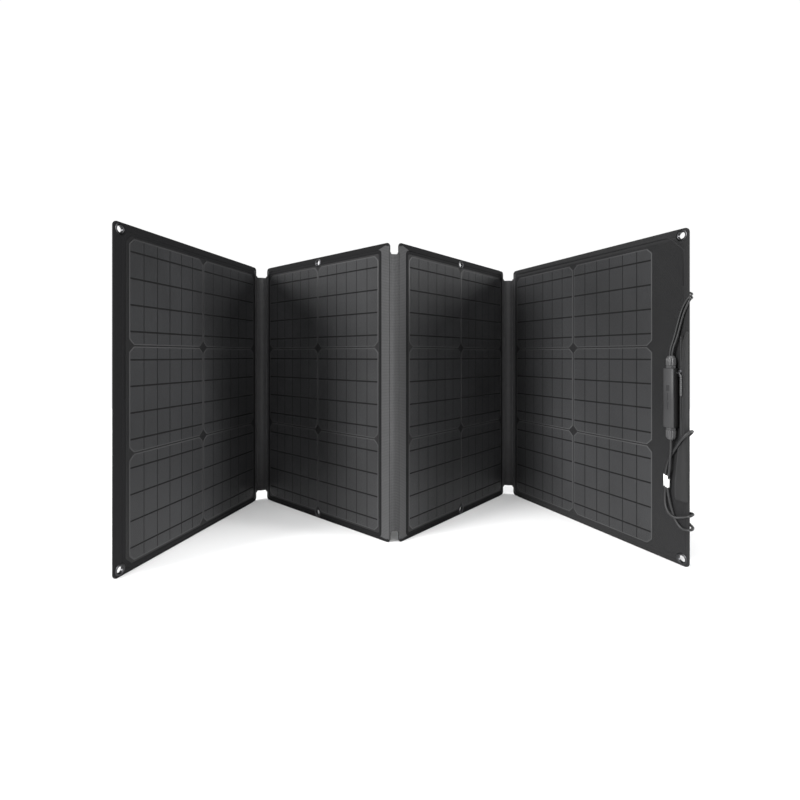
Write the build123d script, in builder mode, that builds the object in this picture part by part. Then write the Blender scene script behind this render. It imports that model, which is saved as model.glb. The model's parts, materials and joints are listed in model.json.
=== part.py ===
from build123d import *
import os
from math import cos, pi, radians, sin, tan

# Folding solar panel: four stiff panels standing in a zig-zag, joined by three flexible
# hinge strips, with a cable strip along the free edge of the last panel. Millimetres, +Z up.

os.makedirs("parts", exist_ok=True)

# ------------------------------------------------------------------ driving dimensions
CELL_SIDE = 156.75           # standard wafer, cut from a round ingot
CELL_DIAMETER = 210.0        # the ingot's diameter gives the clipped corners
CELL_GAP = 2.75
CELL_ROWS = 3
CELL_COLUMNS = 2
BUSBARS_PER_CELL = 5
RIBBON_WIDTH = 1.2
CROSS_RIBBON_GAP = 1.0       # between the cells and the ribbon that joins the busbars

BORDER_TOP = 19.1            # fabric above the cells
BORDER_BOTTOM = 14.15        # and below them
MARGIN_VALLEY = 15.5         # cell to panel edge beside a hinge that folds face to face
MARGIN_RIDGE = 25.5          # and beside the hinge that folds back to back
MARGIN_OUTER = 26.5          # free edge of the first panel
MARGIN_CABLES = 57.5         # free edge of the last panel, which carries the cables
CORNER_RADIUS = 7.0

REAR_FABRIC = 0.8            # layers, from the back face forwards
BOARD = 1.6
CELL_THICKNESS = 0.4
RIBBON_THICKNESS = 0.2
LAMINATE = 1.0
PANEL_THICKNESS = 3.6
BOARD_LIP = 4.0              # board beyond the cells at the sides
BOARD_LIP_ENDS = 5.0         # and above and below them
BOARD_LIP_OUTER = 9.0
BOARD_EDGE_CABLES = 6.0      # board to the free edge beside the cables
BOARD_CHAMFER = 14.0

LINK_VALLEY = 20.0           # axis to axis across a hinge strip
LINK_RIDGE = 12.0
AXIS_GAP = 1.7               # panel edge to hinge axis
BEAD_RADIUS = 1.4            # rolled edge of a hinge strip, round its axis
WEB_FRONT = 0.3              # the web is the rear layer of a hinge strip
NOTCH_DEPTH = 20.5           # the strips are shorter than the panels
HINGE_CABLE_HEIGHT = 14.0
HINGE_CABLE_THICKNESS = 0.4
HINGE_CABLE_Z = 36.0

HEADING_2 = -39.6            # direction of the second panel in plan, degrees from +X
TURN = {1: 114.5, 2: 87.0, 3: 111.6}    # how far each hinge is folded from flat

GROMMET_INSET = 10.5
GROMMET_HOLE = 5.0           # radii
GROMMET_BARREL = 5.6
GROMMET_FLANGE = 8.5
GROMMET_ROLL = 6.7
FLANGE_THICKNESS = 0.6
ROLL_THICKNESS = 0.4
GROMMET_CLEARANCE = 9.5

MODULE_LENGTH = 90.0         # in-line diode module
MODULE_WIDTH = 16.3
MODULE_DEPTH = 15.5
MODULE_Z = 208.0             # its lower end
MODULE_INSET = 21.8          # its centre, from the panel's free edge
MODULE_WALL = 1.6
MODULE_EDGE = 1.5
MODULE_BOARD = (9.0, 60.0, 1.2)
MODULE_BOARD_Y = 9.8
STANDOFF_RADIUS = 2.0
DIODE = (5.0, 9.0, 2.4)
DIODE_SPACING = 16.0
BOSS_RADIUS = 2.6
BOSS_OFFSET = 25.0           # screw bosses either side of the module's middle
SCREW_RADIUS = 1.1
SCREW_HEAD_RADIUS = 2.0
SCREW_HEAD = 1.2
MODULE_SCREW = 11.0
CLEARANCE = 0.05

GLAND_STUB_RADIUS = 4.0      # cable glands at both ends of the module
GLAND_STUB = 5.0
GLAND_HEX = 12.0             # across flats
GLAND_COLLAR = 4.0
GLAND_THREAD_RADIUS = 4.6
GLAND_THREAD = 9.0
GLAND_BORE = 3.0
NUT_RADIUS = 6.8
NUT_LENGTH = 15.0
NUT_END = 2.4
NUT_MOUTH = 3.4

WIRE_DIAMETER = 3.0          # the two leads that feed the module
WIRE_SPACING = 3.4
LEAD_DIAMETER = 4.0          # the output lead

JUNCTION_WIDTH = 56.0        # rear junction box
JUNCTION_HEIGHT = 72.0
JUNCTION_DEPTH = 12.0
JUNCTION_WALL = 1.8
JUNCTION_LID = 2.0
JUNCTION_INSET = 26.0        # its side nearest the free edge
JUNCTION_Z = 401.0           # its centre
JUNCTION_CORNER = 3.0
JUNCTION_BOSS = 2.8
JUNCTION_BOSS_INSET = 5.0
JUNCTION_SCREW = 7.0
TERMINAL = (14.0, 9.0, 5.0)
TERMINAL_SPACING = 24.0
OUTLET_LENGTH = 6.0
OUTLET_RADIUS = 2.6
OUTLET_DEPTH = 6.0           # behind the panel
OUTLET_HEIGHTS = (408.4, 413.8)

POCKET_BOTTOM = 100.0        # cable pocket along the free edge
POCKET_TOP = 350.0
POCKET_EDGE = 1.5
POCKET_CREST = (3.8, 6.4)
POCKET_HEM = (5.6, 5.4)
TAPE_THICKNESS = 0.5
TAPE_Y = 5.0
TOOTH_ROW = 1.6
TOOTH_X = 8.8                # middle of the zip's coil
ZIP_BOTTOM = 196.0
ZIP_TOP = 346.0
STOP = 3.0
SLIDER_SIZE = (4.6, 4.6, 10.0)
SLIDER_Z = 291.0
SLIDER_CLEARANCE = 0.3
PULL_AXIS_Y = 9.9
PULL_BARREL = 2.2
PULL_BARREL_WIDTH = 2.4
PULL_LENGTH = 36.0
PULL_THICKNESS = 1.4
PIN_RADIUS = 1.0
POST_WIDTH = 0.8

COIL_CENTRE = (70.0, -54.0)  # the coiled part of the lead, on the floor behind the panel
COIL_RADIUS = 23.0
COIL_SECTION = 13.0
COIL_Z = 1.2
COIL_TURNS = 8
TIE_THICKNESS = 1.0
TIE_WIDTH = 8.0
TIE_ANGLE = 60.0
TAG_BOX = (23.4, 36.6, 0.2, 9.4, 115.0, 133.0)
TAG_THICKNESS = 0.5

PLUG_GRIP_RADIUS = 5.5
PLUG_GRIP_LENGTH = 24.0
PLUG_BOOT_LENGTH = 16.0
PLUG_BARREL_RADIUS = 3.95
PLUG_BARREL_LENGTH = 10.0
PLUG_BORE = 2.9
PLUG_PIN_RADIUS = 0.5

# ------------------------------------------------------------------ derived sizes
FIELD_WIDTH = CELL_COLUMNS * CELL_SIDE + (CELL_COLUMNS - 1) * CELL_GAP
FIELD_HEIGHT = CELL_ROWS * CELL_SIDE + (CELL_ROWS - 1) * CELL_GAP
PANEL_HEIGHT = BORDER_BOTTOM + FIELD_HEIGHT + BORDER_TOP
STRIP_HEIGHT = PANEL_HEIGHT - 2 * NOTCH_DEPTH
BOARD_TOP = REAR_FABRIC + BOARD
CELL_TOP = BOARD_TOP + CELL_THICKNESS
MARGINS = {
    1: (MARGIN_OUTER, MARGIN_VALLEY),
    2: (MARGIN_VALLEY, MARGIN_RIDGE),
    3: (MARGIN_RIDGE, MARGIN_VALLEY),
    4: (MARGIN_VALLEY, MARGIN_CABLES),
}
WIDTH = {k: left + FIELD_WIDTH + right for k, (left, right) in MARGINS.items()}
LINK = {1: LINK_VALLEY, 2: LINK_RIDGE, 3: LINK_VALLEY}
HEADING = {
    1: HEADING_2 + TURN[1],
    2: HEADING_2,
    3: HEADING_2 + TURN[2],
    4: HEADING_2 + TURN[2] - TURN[3],
}


# ------------------------------------------------------------------ the zig-zag in plan
def along(heading):
    """Unit vector along a panel, from its left edge to its right."""
    return Vector(cos(radians(heading)), sin(radians(heading)), 0)


def facing(heading):
    """Unit vector out of the panel's front face."""
    return Vector(sin(radians(heading)), -cos(radians(heading)), 0)


def link_heading(hinge):
    return (HEADING[hinge] + HEADING[hinge + 1]) / 2


def lay_out():
    """Mid-thickness points in plan: each panel's left edge, and each hinge's two axes."""
    edges = {}
    axes = {}
    point = Vector(0, 0, 0)
    for k in range(1, 5):
        edges[k] = point
        right = point + along(HEADING[k]) * WIDTH[k]
        if k == 4:
            break
        first = right + along(HEADING[k]) * AXIS_GAP
        second = first + along(link_heading(k)) * LINK[k]
        axes[k] = (first, second)
        point = second + along(HEADING[k + 1]) * AXIS_GAP
    return edges, axes


def plan_centre(edges, axes):
    """Middle of the bounding box in plan."""
    half = PANEL_THICKNESS / 2
    xs = []
    ys = []
    for k, left in edges.items():
        for end in (left, left + along(HEADING[k]) * WIDTH[k]):
            for side in (half, -half):
                corner = end + facing(HEADING[k]) * side
                xs.append(corner.X)
                ys.append(corner.Y)
    for pair in axes.values():
        for point in pair:
            ys.append(point.Y + BEAD_RADIUS)
    return Vector((min(xs) + max(xs)) / 2, (min(ys) + max(ys)) / 2, 0)


EDGES, AXES = lay_out()
CENTRE = plan_centre(EDGES, AXES)
EDGES = {k: point - CENTRE for k, point in EDGES.items()}
AXES = {k: (first - CENTRE, second - CENTRE) for k, (first, second) in AXES.items()}


def panel_plane(k, depth):
    """Sketch plane on a panel: x along it, y up, z forwards, depth from its back face."""
    out = facing(HEADING[k])
    origin = EDGES[k] + out * (depth - PANEL_THICKNESS / 2)
    return Plane(origin=origin, x_dir=along(HEADING[k]), z_dir=out)


def link_plane(hinge, z):
    """Horizontal sketch plane on a hinge strip: x from axis to axis, y backwards."""
    origin = AXES[hinge][0] + Vector(0, 0, z)
    return Plane(origin=origin, x_dir=along(link_heading(hinge)), z_dir=(0, 0, 1))


FREE_EDGE = EDGES[4] + along(HEADING[4]) * WIDTH[4] + facing(HEADING[4]) * (PANEL_THICKNESS / 2)
STRIP = Plane(origin=FREE_EDGE, x_dir=-along(HEADING[4]), z_dir=(0, 0, 1))
BACK = -PANEL_THICKNESS      # y of the panel's back face in the STRIP frame


def save(piece, name):
    """Label a finished piece and write its STEP file."""
    piece.part.label = name
    export_step(piece.part, f"parts/{name}.step")


# ------------------------------------------------------------------ panels
def grommet_points(k):
    """Places of a panel's two grommets: outer corners, or mid-width on the inner panels."""
    across = {
        1: GROMMET_INSET,
        2: MARGINS[2][0] + FIELD_WIDTH / 2,
        3: MARGINS[3][0] + FIELD_WIDTH / 2,
        4: WIDTH[4] - GROMMET_INSET,
    }[k]
    return [(across, GROMMET_INSET), (across, PANEL_HEIGHT - GROMMET_INSET)]


def cell_points(k):
    """Centres of a panel's cells."""
    pitch = CELL_SIDE + CELL_GAP
    first_x = MARGINS[k][0] + CELL_SIDE / 2
    first_y = BORDER_BOTTOM + CELL_SIDE / 2
    return [
        (first_x + column * pitch, first_y + row * pitch)
        for column in range(CELL_COLUMNS)
        for row in range(CELL_ROWS)
    ]


def board_span(k):
    """Left and right ends of a panel's stiff board."""
    left, right = MARGINS[k]
    left_lip = BOARD_LIP_OUTER if k == 1 else BOARD_LIP
    end = left + FIELD_WIDTH + BOARD_LIP
    if k == 4:
        end = WIDTH[4] - BOARD_EDGE_CABLES
    return left - left_lip, end


def board_sketch(k):
    """Outline of the stiff board, clear of the grommets and clipped beside the corner ones."""
    start, end = board_span(k)
    low = BORDER_BOTTOM - BOARD_LIP_ENDS
    high = PANEL_HEIGHT - BORDER_TOP + BOARD_LIP_ENDS
    with BuildSketch() as outline:
        with Locations(((start + end) / 2, (low + high) / 2)):
            Rectangle(end - start, high - low)
        if k == 1:
            chamfer(outline.vertices().sort_by(Axis.X)[:2], BOARD_CHAMFER)
        if k == 4:
            chamfer(outline.vertices().sort_by(Axis.X)[-2:], BOARD_CHAMFER)
        with Locations(*grommet_points(k)):
            Circle(GROMMET_CLEARANCE, mode=Mode.SUBTRACT)
    return outline.sketch


def clipped_cell():
    """One cell, centred on its own origin."""
    with BuildSketch() as cell:
        Rectangle(CELL_SIDE, CELL_SIDE)
        Circle(CELL_DIAMETER / 2, mode=Mode.INTERSECT)
    return cell.sketch


CELL = clipped_cell()


def ribbon_sketch(k):
    """Busbar ribbons down each column, joined by a cross ribbon above and below the cells."""
    cross = FIELD_HEIGHT / 2 + CROSS_RIBBON_GAP + RIBBON_WIDTH / 2
    spacing = CELL_SIDE / (BUSBARS_PER_CELL + 1)
    with BuildSketch() as ribbons:
        for column in range(CELL_COLUMNS):
            left = MARGINS[k][0] + column * (CELL_SIDE + CELL_GAP)
            with Locations((left + CELL_SIDE / 2, BORDER_BOTTOM + FIELD_HEIGHT / 2)):
                with GridLocations(spacing, 0, BUSBARS_PER_CELL, 1):
                    Rectangle(RIBBON_WIDTH, 2 * cross)
                with GridLocations(0, 2 * cross, 1, 2):
                    Rectangle(spacing * (BUSBARS_PER_CELL - 1) + RIBBON_WIDTH, RIBBON_WIDTH)
    return ribbons.sketch


def build_panel(k):
    """All the fixed layers of one panel, with its grommets."""
    with BuildPart() as rear_cover:
        with BuildSketch(panel_plane(k, 0)):
            with Locations((WIDTH[k] / 2, PANEL_HEIGHT / 2)):
                RectangleRounded(WIDTH[k], PANEL_HEIGHT, CORNER_RADIUS)
            with Locations(*grommet_points(k)):
                Circle(GROMMET_BARREL, mode=Mode.SUBTRACT)
        extrude(amount=REAR_FABRIC)
    save(rear_cover, f"rear_cover_{k}")

    with BuildPart() as board:
        with BuildSketch(panel_plane(k, REAR_FABRIC)):
            add(board_sketch(k))
        extrude(amount=BOARD)
    save(board, f"backing_board_{k}")

    with BuildPart() as border:
        with BuildSketch(panel_plane(k, REAR_FABRIC)):
            with Locations((WIDTH[k] / 2, PANEL_HEIGHT / 2)):
                RectangleRounded(WIDTH[k], PANEL_HEIGHT, CORNER_RADIUS)
            add(board_sketch(k), mode=Mode.SUBTRACT)
            with Locations(*grommet_points(k)):
                Circle(GROMMET_BARREL, mode=Mode.SUBTRACT)
        extrude(amount=PANEL_THICKNESS - REAR_FABRIC)
    save(border, f"front_border_{k}")

    with BuildPart() as cells:
        with BuildSketch(panel_plane(k, BOARD_TOP)):
            with Locations(*cell_points(k)):
                add(CELL)
        extrude(amount=CELL_THICKNESS)
    save(cells, f"solar_cells_{k}")

    with BuildPart() as ribbons:
        with BuildSketch(panel_plane(k, CELL_TOP)):
            add(ribbon_sketch(k))
        extrude(amount=RIBBON_THICKNESS)
    save(ribbons, f"cell_ribbons_{k}")

    # the laminate fills round the cells, then round the ribbons, then covers both
    with BuildPart() as laminate:
        with BuildSketch(panel_plane(k, BOARD_TOP)):
            add(board_sketch(k))
            with Locations(*cell_points(k)):
                add(CELL, mode=Mode.SUBTRACT)
        extrude(amount=CELL_THICKNESS)
        with BuildSketch(panel_plane(k, CELL_TOP)):
            add(board_sketch(k))
            add(ribbon_sketch(k), mode=Mode.SUBTRACT)
        extrude(amount=RIBBON_THICKNESS)
        with BuildSketch(panel_plane(k, CELL_TOP + RIBBON_THICKNESS)):
            add(board_sketch(k))
        extrude(amount=LAMINATE - CELL_THICKNESS - RIBBON_THICKNESS)
    save(laminate, f"front_laminate_{k}")

    with BuildPart() as grommets:
        for low, high, inner, outer in (
            (PANEL_THICKNESS, PANEL_THICKNESS + FLANGE_THICKNESS, GROMMET_HOLE, GROMMET_FLANGE),
            (-FLANGE_THICKNESS, PANEL_THICKNESS, GROMMET_HOLE, GROMMET_BARREL),
            (-FLANGE_THICKNESS - ROLL_THICKNESS, -FLANGE_THICKNESS, GROMMET_HOLE, GROMMET_ROLL),
        ):
            with BuildSketch(panel_plane(k, low)):
                with Locations(*grommet_points(k)):
                    Circle(outer)
                    Circle(inner, mode=Mode.SUBTRACT)
            extrude(amount=high - low)
    with BuildPart() as washers:
        with BuildSketch(panel_plane(k, -FLANGE_THICKNESS)):
            with Locations(*grommet_points(k)):
                Circle(GROMMET_FLANGE)
                Circle(GROMMET_BARREL, mode=Mode.SUBTRACT)
        extrude(amount=FLANGE_THICKNESS)
    both = Compound(children=list(grommets.part.solids()) + list(washers.part.solids()))
    both.label = f"grommets_{k}"
    export_step(both, f"parts/grommets_{k}.step")


# ------------------------------------------------------------------ hinge strips
def build_hinge(hinge):
    """Rear web with a bead round each axis, ribbed front strip, and the flat cable inside."""
    length = LINK[hinge]
    inner = BEAD_RADIUS + 0.05
    plane = link_plane(hinge, NOTCH_DEPTH)
    with BuildPart() as web:
        with BuildSketch(plane):
            with Locations((length / 2, (WEB_FRONT + BEAD_RADIUS) / 2)):
                Rectangle(length, BEAD_RADIUS - WEB_FRONT)
            with Locations((0, 0), (length, 0)):
                Circle(BEAD_RADIUS)
        extrude(amount=STRIP_HEIGHT)
    save(web, f"hinge_web_{hinge}")

    cable_plane = link_plane(hinge, HINGE_CABLE_Z)
    with BuildPart() as cable:
        with BuildSketch(cable_plane):
            with Locations((length / 2, WEB_FRONT - HINGE_CABLE_THICKNESS / 2)):
                Rectangle(length - 2 * inner, HINGE_CABLE_THICKNESS)
        extrude(amount=HINGE_CABLE_HEIGHT)
    save(cable, f"hinge_cable_{hinge}")

    with BuildPart() as face:
        with BuildSketch(plane):
            with Locations((length / 2, (WEB_FRONT - BEAD_RADIUS) / 2)):
                Rectangle(length - 2 * inner, BEAD_RADIUS + WEB_FRONT)
        extrude(amount=STRIP_HEIGHT)
        add(cable.part, mode=Mode.SUBTRACT)
    save(face, f"hinge_face_{hinge}")


for number in range(1, 5):
    build_panel(number)
for number in range(1, 4):
    build_hinge(number)




# ------------------------------------------------------------------ things on the cable strip
def face_plane(y):
    """Sketch plane parallel to the last panel: x inwards from its free edge, y up."""
    origin = STRIP.from_local_coords(Vector(0, y, 0))
    return Plane(origin=origin, x_dir=STRIP.x_dir, z_dir=-STRIP.y_dir)


def block(x, z, width, height, y_from, y_to, corner=0.0, mode=Mode.ADD):
    """A block on the strip, between two depths measured from the panel's front face."""
    with BuildSketch(face_plane(y_from)) as profile:
        with Locations((x, z)):
            if corner:
                RectangleRounded(width, height, corner)
            else:
                Rectangle(width, height)
    extrude(profile.sketch, amount=y_from - y_to, mode=mode)


def peg(x, z, radius, y_from, y_to, mode=Mode.ADD):
    """A round peg or hole square to the panel."""
    with BuildSketch(face_plane(y_from)) as profile:
        with Locations((x, z)):
            Circle(radius)
    extrude(profile.sketch, amount=y_from - y_to, mode=mode)


def upright(x, y, radius, z_from, z_to, mode=Mode.ADD):
    """A round bar or hole along the free edge."""
    with BuildSketch(STRIP.offset(z_from)) as profile:
        with Locations((x, y)):
            Circle(radius)
    extrude(profile.sketch, amount=z_to - z_from, mode=mode)


def rearmost(part, last=0):
    """The face that lies furthest back, or with last=-1 furthest forward."""
    return part.faces().sort_by(Axis(FREE_EDGE, STRIP.y_dir))[last]


# ------------------------------------------------------------------ in-line module
PARTING = MODULE_DEPTH / 2
MODULE_MIDDLE = MODULE_Z + MODULE_LENGTH / 2
MODULE_TOP = MODULE_Z + MODULE_LENGTH
BOSS_HEIGHTS = [MODULE_MIDDLE - BOSS_OFFSET, MODULE_MIDDLE + BOSS_OFFSET]


def module_half(outer_y):
    """Half of the case: a tray from the parting plane to its outer wall, with screw bosses."""
    inner_y = outer_y + (MODULE_WALL if outer_y < PARTING else -MODULE_WALL)
    front = outer_y > PARTING
    with BuildPart() as half:
        block(MODULE_INSET, MODULE_MIDDLE, MODULE_WIDTH, MODULE_LENGTH, PARTING, outer_y)
        fillet(rearmost(half, -1 if front else 0).edges(), MODULE_EDGE)
        offset(amount=-MODULE_WALL, openings=rearmost(half, 0 if front else -1))
        for z in BOSS_HEIGHTS:
            peg(MODULE_INSET, z, BOSS_RADIUS, PARTING, inner_y)
            if front:
                depth = SCREW_HEAD + MODULE_SCREW + CLEARANCE
                peg(MODULE_INSET, z, SCREW_RADIUS + CLEARANCE, PARTING, depth, Mode.SUBTRACT)
            else:
                peg(MODULE_INSET, z, SCREW_RADIUS + CLEARANCE, PARTING, 0, Mode.SUBTRACT)
                peg(MODULE_INSET, z, SCREW_HEAD_RADIUS + CLEARANCE, SCREW_HEAD, 0, Mode.SUBTRACT)
        if not front:
            peg(MODULE_INSET, MODULE_MIDDLE, STANDOFF_RADIUS, inner_y, MODULE_BOARD_Y)
        for z in (MODULE_Z, MODULE_TOP - MODULE_WALL):
            radius = GLAND_STUB_RADIUS + CLEARANCE
            upright(MODULE_INSET, PARTING, radius, z, z + MODULE_WALL, Mode.SUBTRACT)
    return half


save(module_half(MODULE_DEPTH), "module_front_shell")
save(module_half(0), "module_rear_shell")

with BuildPart() as module_board:
    width, height, thickness = MODULE_BOARD
    board_front = MODULE_BOARD_Y + thickness
    block(MODULE_INSET, MODULE_MIDDLE, width, height, MODULE_BOARD_Y, board_front)
    for z in BOSS_HEIGHTS:
        peg(MODULE_INSET, z, BOSS_RADIUS + CLEARANCE, MODULE_BOARD_Y, board_front, Mode.SUBTRACT)
    width, height, thickness = DIODE
    for z in (MODULE_MIDDLE - DIODE_SPACING / 2, MODULE_MIDDLE + DIODE_SPACING / 2):
        block(MODULE_INSET, z, width, height, board_front, board_front + thickness)
save(module_board, "module_board")

# glands: a body screwed into each end, a nut over its thread, and a rubber seal in the nut
GLAND_ENDS = ((MODULE_Z, -1), (MODULE_TOP, 1))
NUT_TIP = GLAND_COLLAR + NUT_LENGTH

with BuildPart() as gland_bodies:
    for z, way in GLAND_ENDS:
        start = z - way * GLAND_STUB
        upright(MODULE_INSET, PARTING, GLAND_STUB_RADIUS, start, z)
        with BuildSketch(STRIP.offset(z)):
            with Locations((MODULE_INSET, PARTING)):
                RegularPolygon(GLAND_HEX / 2, 6, major_radius=False)
        extrude(amount=way * GLAND_COLLAR)
        collar = z + way * GLAND_COLLAR
        tip = collar + way * GLAND_THREAD
        upright(MODULE_INSET, PARTING, GLAND_THREAD_RADIUS, collar, tip)
        upright(MODULE_INSET, PARTING, GLAND_BORE, start, tip, Mode.SUBTRACT)
save(gland_bodies, "gland_bodies")

with BuildPart() as gland_nuts:
    for z, way in GLAND_ENDS:
        collar = z + way * GLAND_COLLAR
        tip = z + way * NUT_TIP
        end_wall = tip - way * NUT_END
        upright(MODULE_INSET, PARTING, NUT_RADIUS, collar, tip)
        upright(MODULE_INSET, PARTING, GLAND_THREAD_RADIUS + CLEARANCE, collar, end_wall, Mode.SUBTRACT)
        upright(MODULE_INSET, PARTING, NUT_MOUTH, end_wall, tip, Mode.SUBTRACT)
save(gland_nuts, "gland_nuts")

with BuildPart() as gland_seals:
    for z, way in GLAND_ENDS:
        thread_tip = z + way * (GLAND_COLLAR + GLAND_THREAD)
        tip = z + way * NUT_TIP
        end_wall = tip - way * NUT_END
        upright(MODULE_INSET, PARTING, GLAND_THREAD_RADIUS, thread_tip, end_wall)
        upright(MODULE_INSET, PARTING, NUT_MOUTH, end_wall, tip)
save(gland_seals, "gland_seals")

# ------------------------------------------------------------------ rear junction box
JUNCTION_X = JUNCTION_INSET + JUNCTION_WIDTH / 2
LID_Y = BACK - JUNCTION_DEPTH + JUNCTION_LID
JUNCTION_CORNERS = [
    (JUNCTION_X + side * (JUNCTION_WIDTH / 2 - JUNCTION_BOSS_INSET), z)
    for side in (-1, 1)
    for z in (
        JUNCTION_Z - JUNCTION_HEIGHT / 2 + JUNCTION_BOSS_INSET,
        JUNCTION_Z + JUNCTION_HEIGHT / 2 - JUNCTION_BOSS_INSET,
    )
]

with BuildPart() as junction_base:
    block(JUNCTION_X, JUNCTION_Z, JUNCTION_WIDTH, JUNCTION_HEIGHT, BACK, LID_Y, JUNCTION_CORNER)
    offset(amount=-JUNCTION_WALL, openings=rearmost(junction_base))
    for x, z in JUNCTION_CORNERS:
        peg(x, z, JUNCTION_BOSS, BACK - JUNCTION_WALL, LID_Y)
        depth = BACK - JUNCTION_DEPTH + SCREW_HEAD + JUNCTION_SCREW + CLEARANCE
        peg(x, z, SCREW_RADIUS + CLEARANCE, LID_Y, depth, Mode.SUBTRACT)
    for z in OUTLET_HEIGHTS:
        side = STRIP.from_local_coords(Vector(JUNCTION_INSET, BACK - OUTLET_DEPTH, z))
        with BuildSketch(Plane(origin=side, x_dir=STRIP.y_dir, z_dir=-STRIP.x_dir)):
            Circle(OUTLET_RADIUS)
        extrude(amount=OUTLET_LENGTH)
save(junction_base, "junction_base")

with BuildPart() as junction_lid:
    outer_y = BACK - JUNCTION_DEPTH
    block(JUNCTION_X, JUNCTION_Z, JUNCTION_WIDTH, JUNCTION_HEIGHT, LID_Y, outer_y, JUNCTION_CORNER)
    for x, z in JUNCTION_CORNERS:
        peg(x, z, SCREW_RADIUS + CLEARANCE, LID_Y, outer_y, Mode.SUBTRACT)
        peg(x, z, SCREW_HEAD_RADIUS + CLEARANCE, outer_y + SCREW_HEAD, outer_y, Mode.SUBTRACT)
save(junction_lid, "junction_lid")

with BuildPart() as junction_terminals:
    width, height, thickness = TERMINAL
    floor_y = BACK - JUNCTION_WALL
    for z in (JUNCTION_Z - TERMINAL_SPACING / 2, JUNCTION_Z + TERMINAL_SPACING / 2):
        block(JUNCTION_X, z, width, height, floor_y, floor_y - thickness)
save(junction_terminals, "junction_terminals")

with BuildPart() as cover_screws:
    for z in BOSS_HEIGHTS:
        peg(MODULE_INSET, z, SCREW_HEAD_RADIUS, 0, SCREW_HEAD)
        peg(MODULE_INSET, z, SCREW_RADIUS, SCREW_HEAD, SCREW_HEAD + MODULE_SCREW)
    outer_y = BACK - JUNCTION_DEPTH
    for x, z in JUNCTION_CORNERS:
        peg(x, z, SCREW_HEAD_RADIUS, outer_y, outer_y + SCREW_HEAD)
        peg(x, z, SCREW_RADIUS, outer_y + SCREW_HEAD, outer_y + SCREW_HEAD + JUNCTION_SCREW)
save(cover_screws, "cover_screws")

# ------------------------------------------------------------------ cable pocket and its zip
with BuildPart() as pocket:
    with BuildSketch(STRIP.offset(POCKET_BOTTOM)) as pocket_profile:
        with BuildLine():
            foot = (POCKET_EDGE, 0)
            inner_foot = (POCKET_HEM[0], 0)
            ThreePointArc(foot, (POCKET_EDGE + 0.5, POCKET_CREST[1] * 0.7), POCKET_CREST)
            Line(POCKET_CREST, POCKET_HEM)
            Line(POCKET_HEM, inner_foot)
            Line(inner_foot, foot)
        make_face()
        with Locations(((POCKET_HEM[0] + TOOTH_X - TOOTH_ROW / 2) / 2, TAPE_Y)):
            Rectangle(TOOTH_X - TOOTH_ROW / 2 - POCKET_HEM[0], TAPE_THICKNESS)
    extrude(amount=POCKET_TOP - POCKET_BOTTOM)
save(pocket, "cable_pocket")

with BuildPart() as zip_coil:
    with BuildSketch(STRIP.offset(ZIP_BOTTOM)):
        with Locations((TOOTH_X, TAPE_Y)):
            Rectangle(TOOTH_ROW, TOOTH_ROW)
    extrude(amount=ZIP_TOP - ZIP_BOTTOM)
    for z in (ZIP_BOTTOM - STOP, ZIP_TOP):
        with BuildSketch(STRIP.offset(z)):
            with Locations((TOOTH_X + (STOP - TOOTH_ROW) / 2, TAPE_Y)):
                Rectangle(STOP, STOP)
        extrude(amount=STOP)
save(zip_coil, "zip_coil")

SLIDER_FRONT = TAPE_Y + SLIDER_SIZE[1] / 2
with BuildPart() as slider:
    width, depth, height = SLIDER_SIZE
    bottom = STRIP.offset(SLIDER_Z - height / 2)
    channel = TOOTH_ROW + 2 * SLIDER_CLEARANCE
    slot = TAPE_THICKNESS + 2 * SLIDER_CLEARANCE
    with BuildSketch(bottom):
        with Locations((TOOTH_X, TAPE_Y)):
            Rectangle(width, depth)
            Rectangle(channel, channel, mode=Mode.SUBTRACT)
        with Locations((TOOTH_X - width / 4, TAPE_Y)):
            Rectangle(width / 2, slot, mode=Mode.SUBTRACT)
    extrude(amount=height)
    for side in (-1, 1):
        x = TOOTH_X + side * (width - POST_WIDTH) / 2
        block(x, SLIDER_Z, POST_WIDTH, 2 * PULL_BARREL, SLIDER_FRONT, PULL_AXIS_Y + PIN_RADIUS)
    pin_end = STRIP.from_local_coords(Vector(TOOTH_X - width / 2, PULL_AXIS_Y, SLIDER_Z))
    with BuildSketch(Plane(origin=pin_end, x_dir=STRIP.y_dir, z_dir=STRIP.x_dir)):
        Circle(PIN_RADIUS)
    extrude(amount=width)
save(slider, "zip_slider")

with BuildPart() as pull:
    barrel_end = Vector(TOOTH_X - PULL_BARREL_WIDTH / 2, PULL_AXIS_Y, SLIDER_Z)
    barrel = Plane(
        origin=STRIP.from_local_coords(barrel_end), x_dir=STRIP.y_dir, z_dir=STRIP.x_dir
    )
    with BuildSketch(barrel):
        Circle(PULL_BARREL)
    extrude(amount=PULL_BARREL_WIDTH)
    plate_back = PULL_AXIS_Y - PULL_THICKNESS / 2
    plate_front = PULL_AXIS_Y + PULL_THICKNESS / 2
    neck = 2 * PULL_BARREL
    block(TOOTH_X, SLIDER_Z - neck / 2, PULL_BARREL_WIDTH, neck, plate_back, plate_front)
    plate = PULL_LENGTH - PULL_BARREL - 1
    middle = SLIDER_Z - PULL_LENGTH + plate / 2
    block(TOOTH_X, middle, SLIDER_SIZE[0], plate, plate_back, plate_front, 1.2)
    with BuildSketch(barrel):
        Circle(PIN_RADIUS + SLIDER_CLEARANCE)
    extrude(amount=PULL_BARREL_WIDTH, mode=Mode.SUBTRACT)
save(pull, "zip_pull")


# ------------------------------------------------------------------ leads
def corner_radii(points):
    """The largest arc that each corner's two runs allow."""
    radii = []
    for before, corner, after in zip(points, points[1:], points[2:]):
        arriving = corner - before
        leaving = after - corner
        shorter = min(arriving.length, leaving.length)
        half_turn = radians(arriving.get_angle(leaving)) / 2
        radii.append(0.45 * shorter / tan(half_turn))
    return radii


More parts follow.
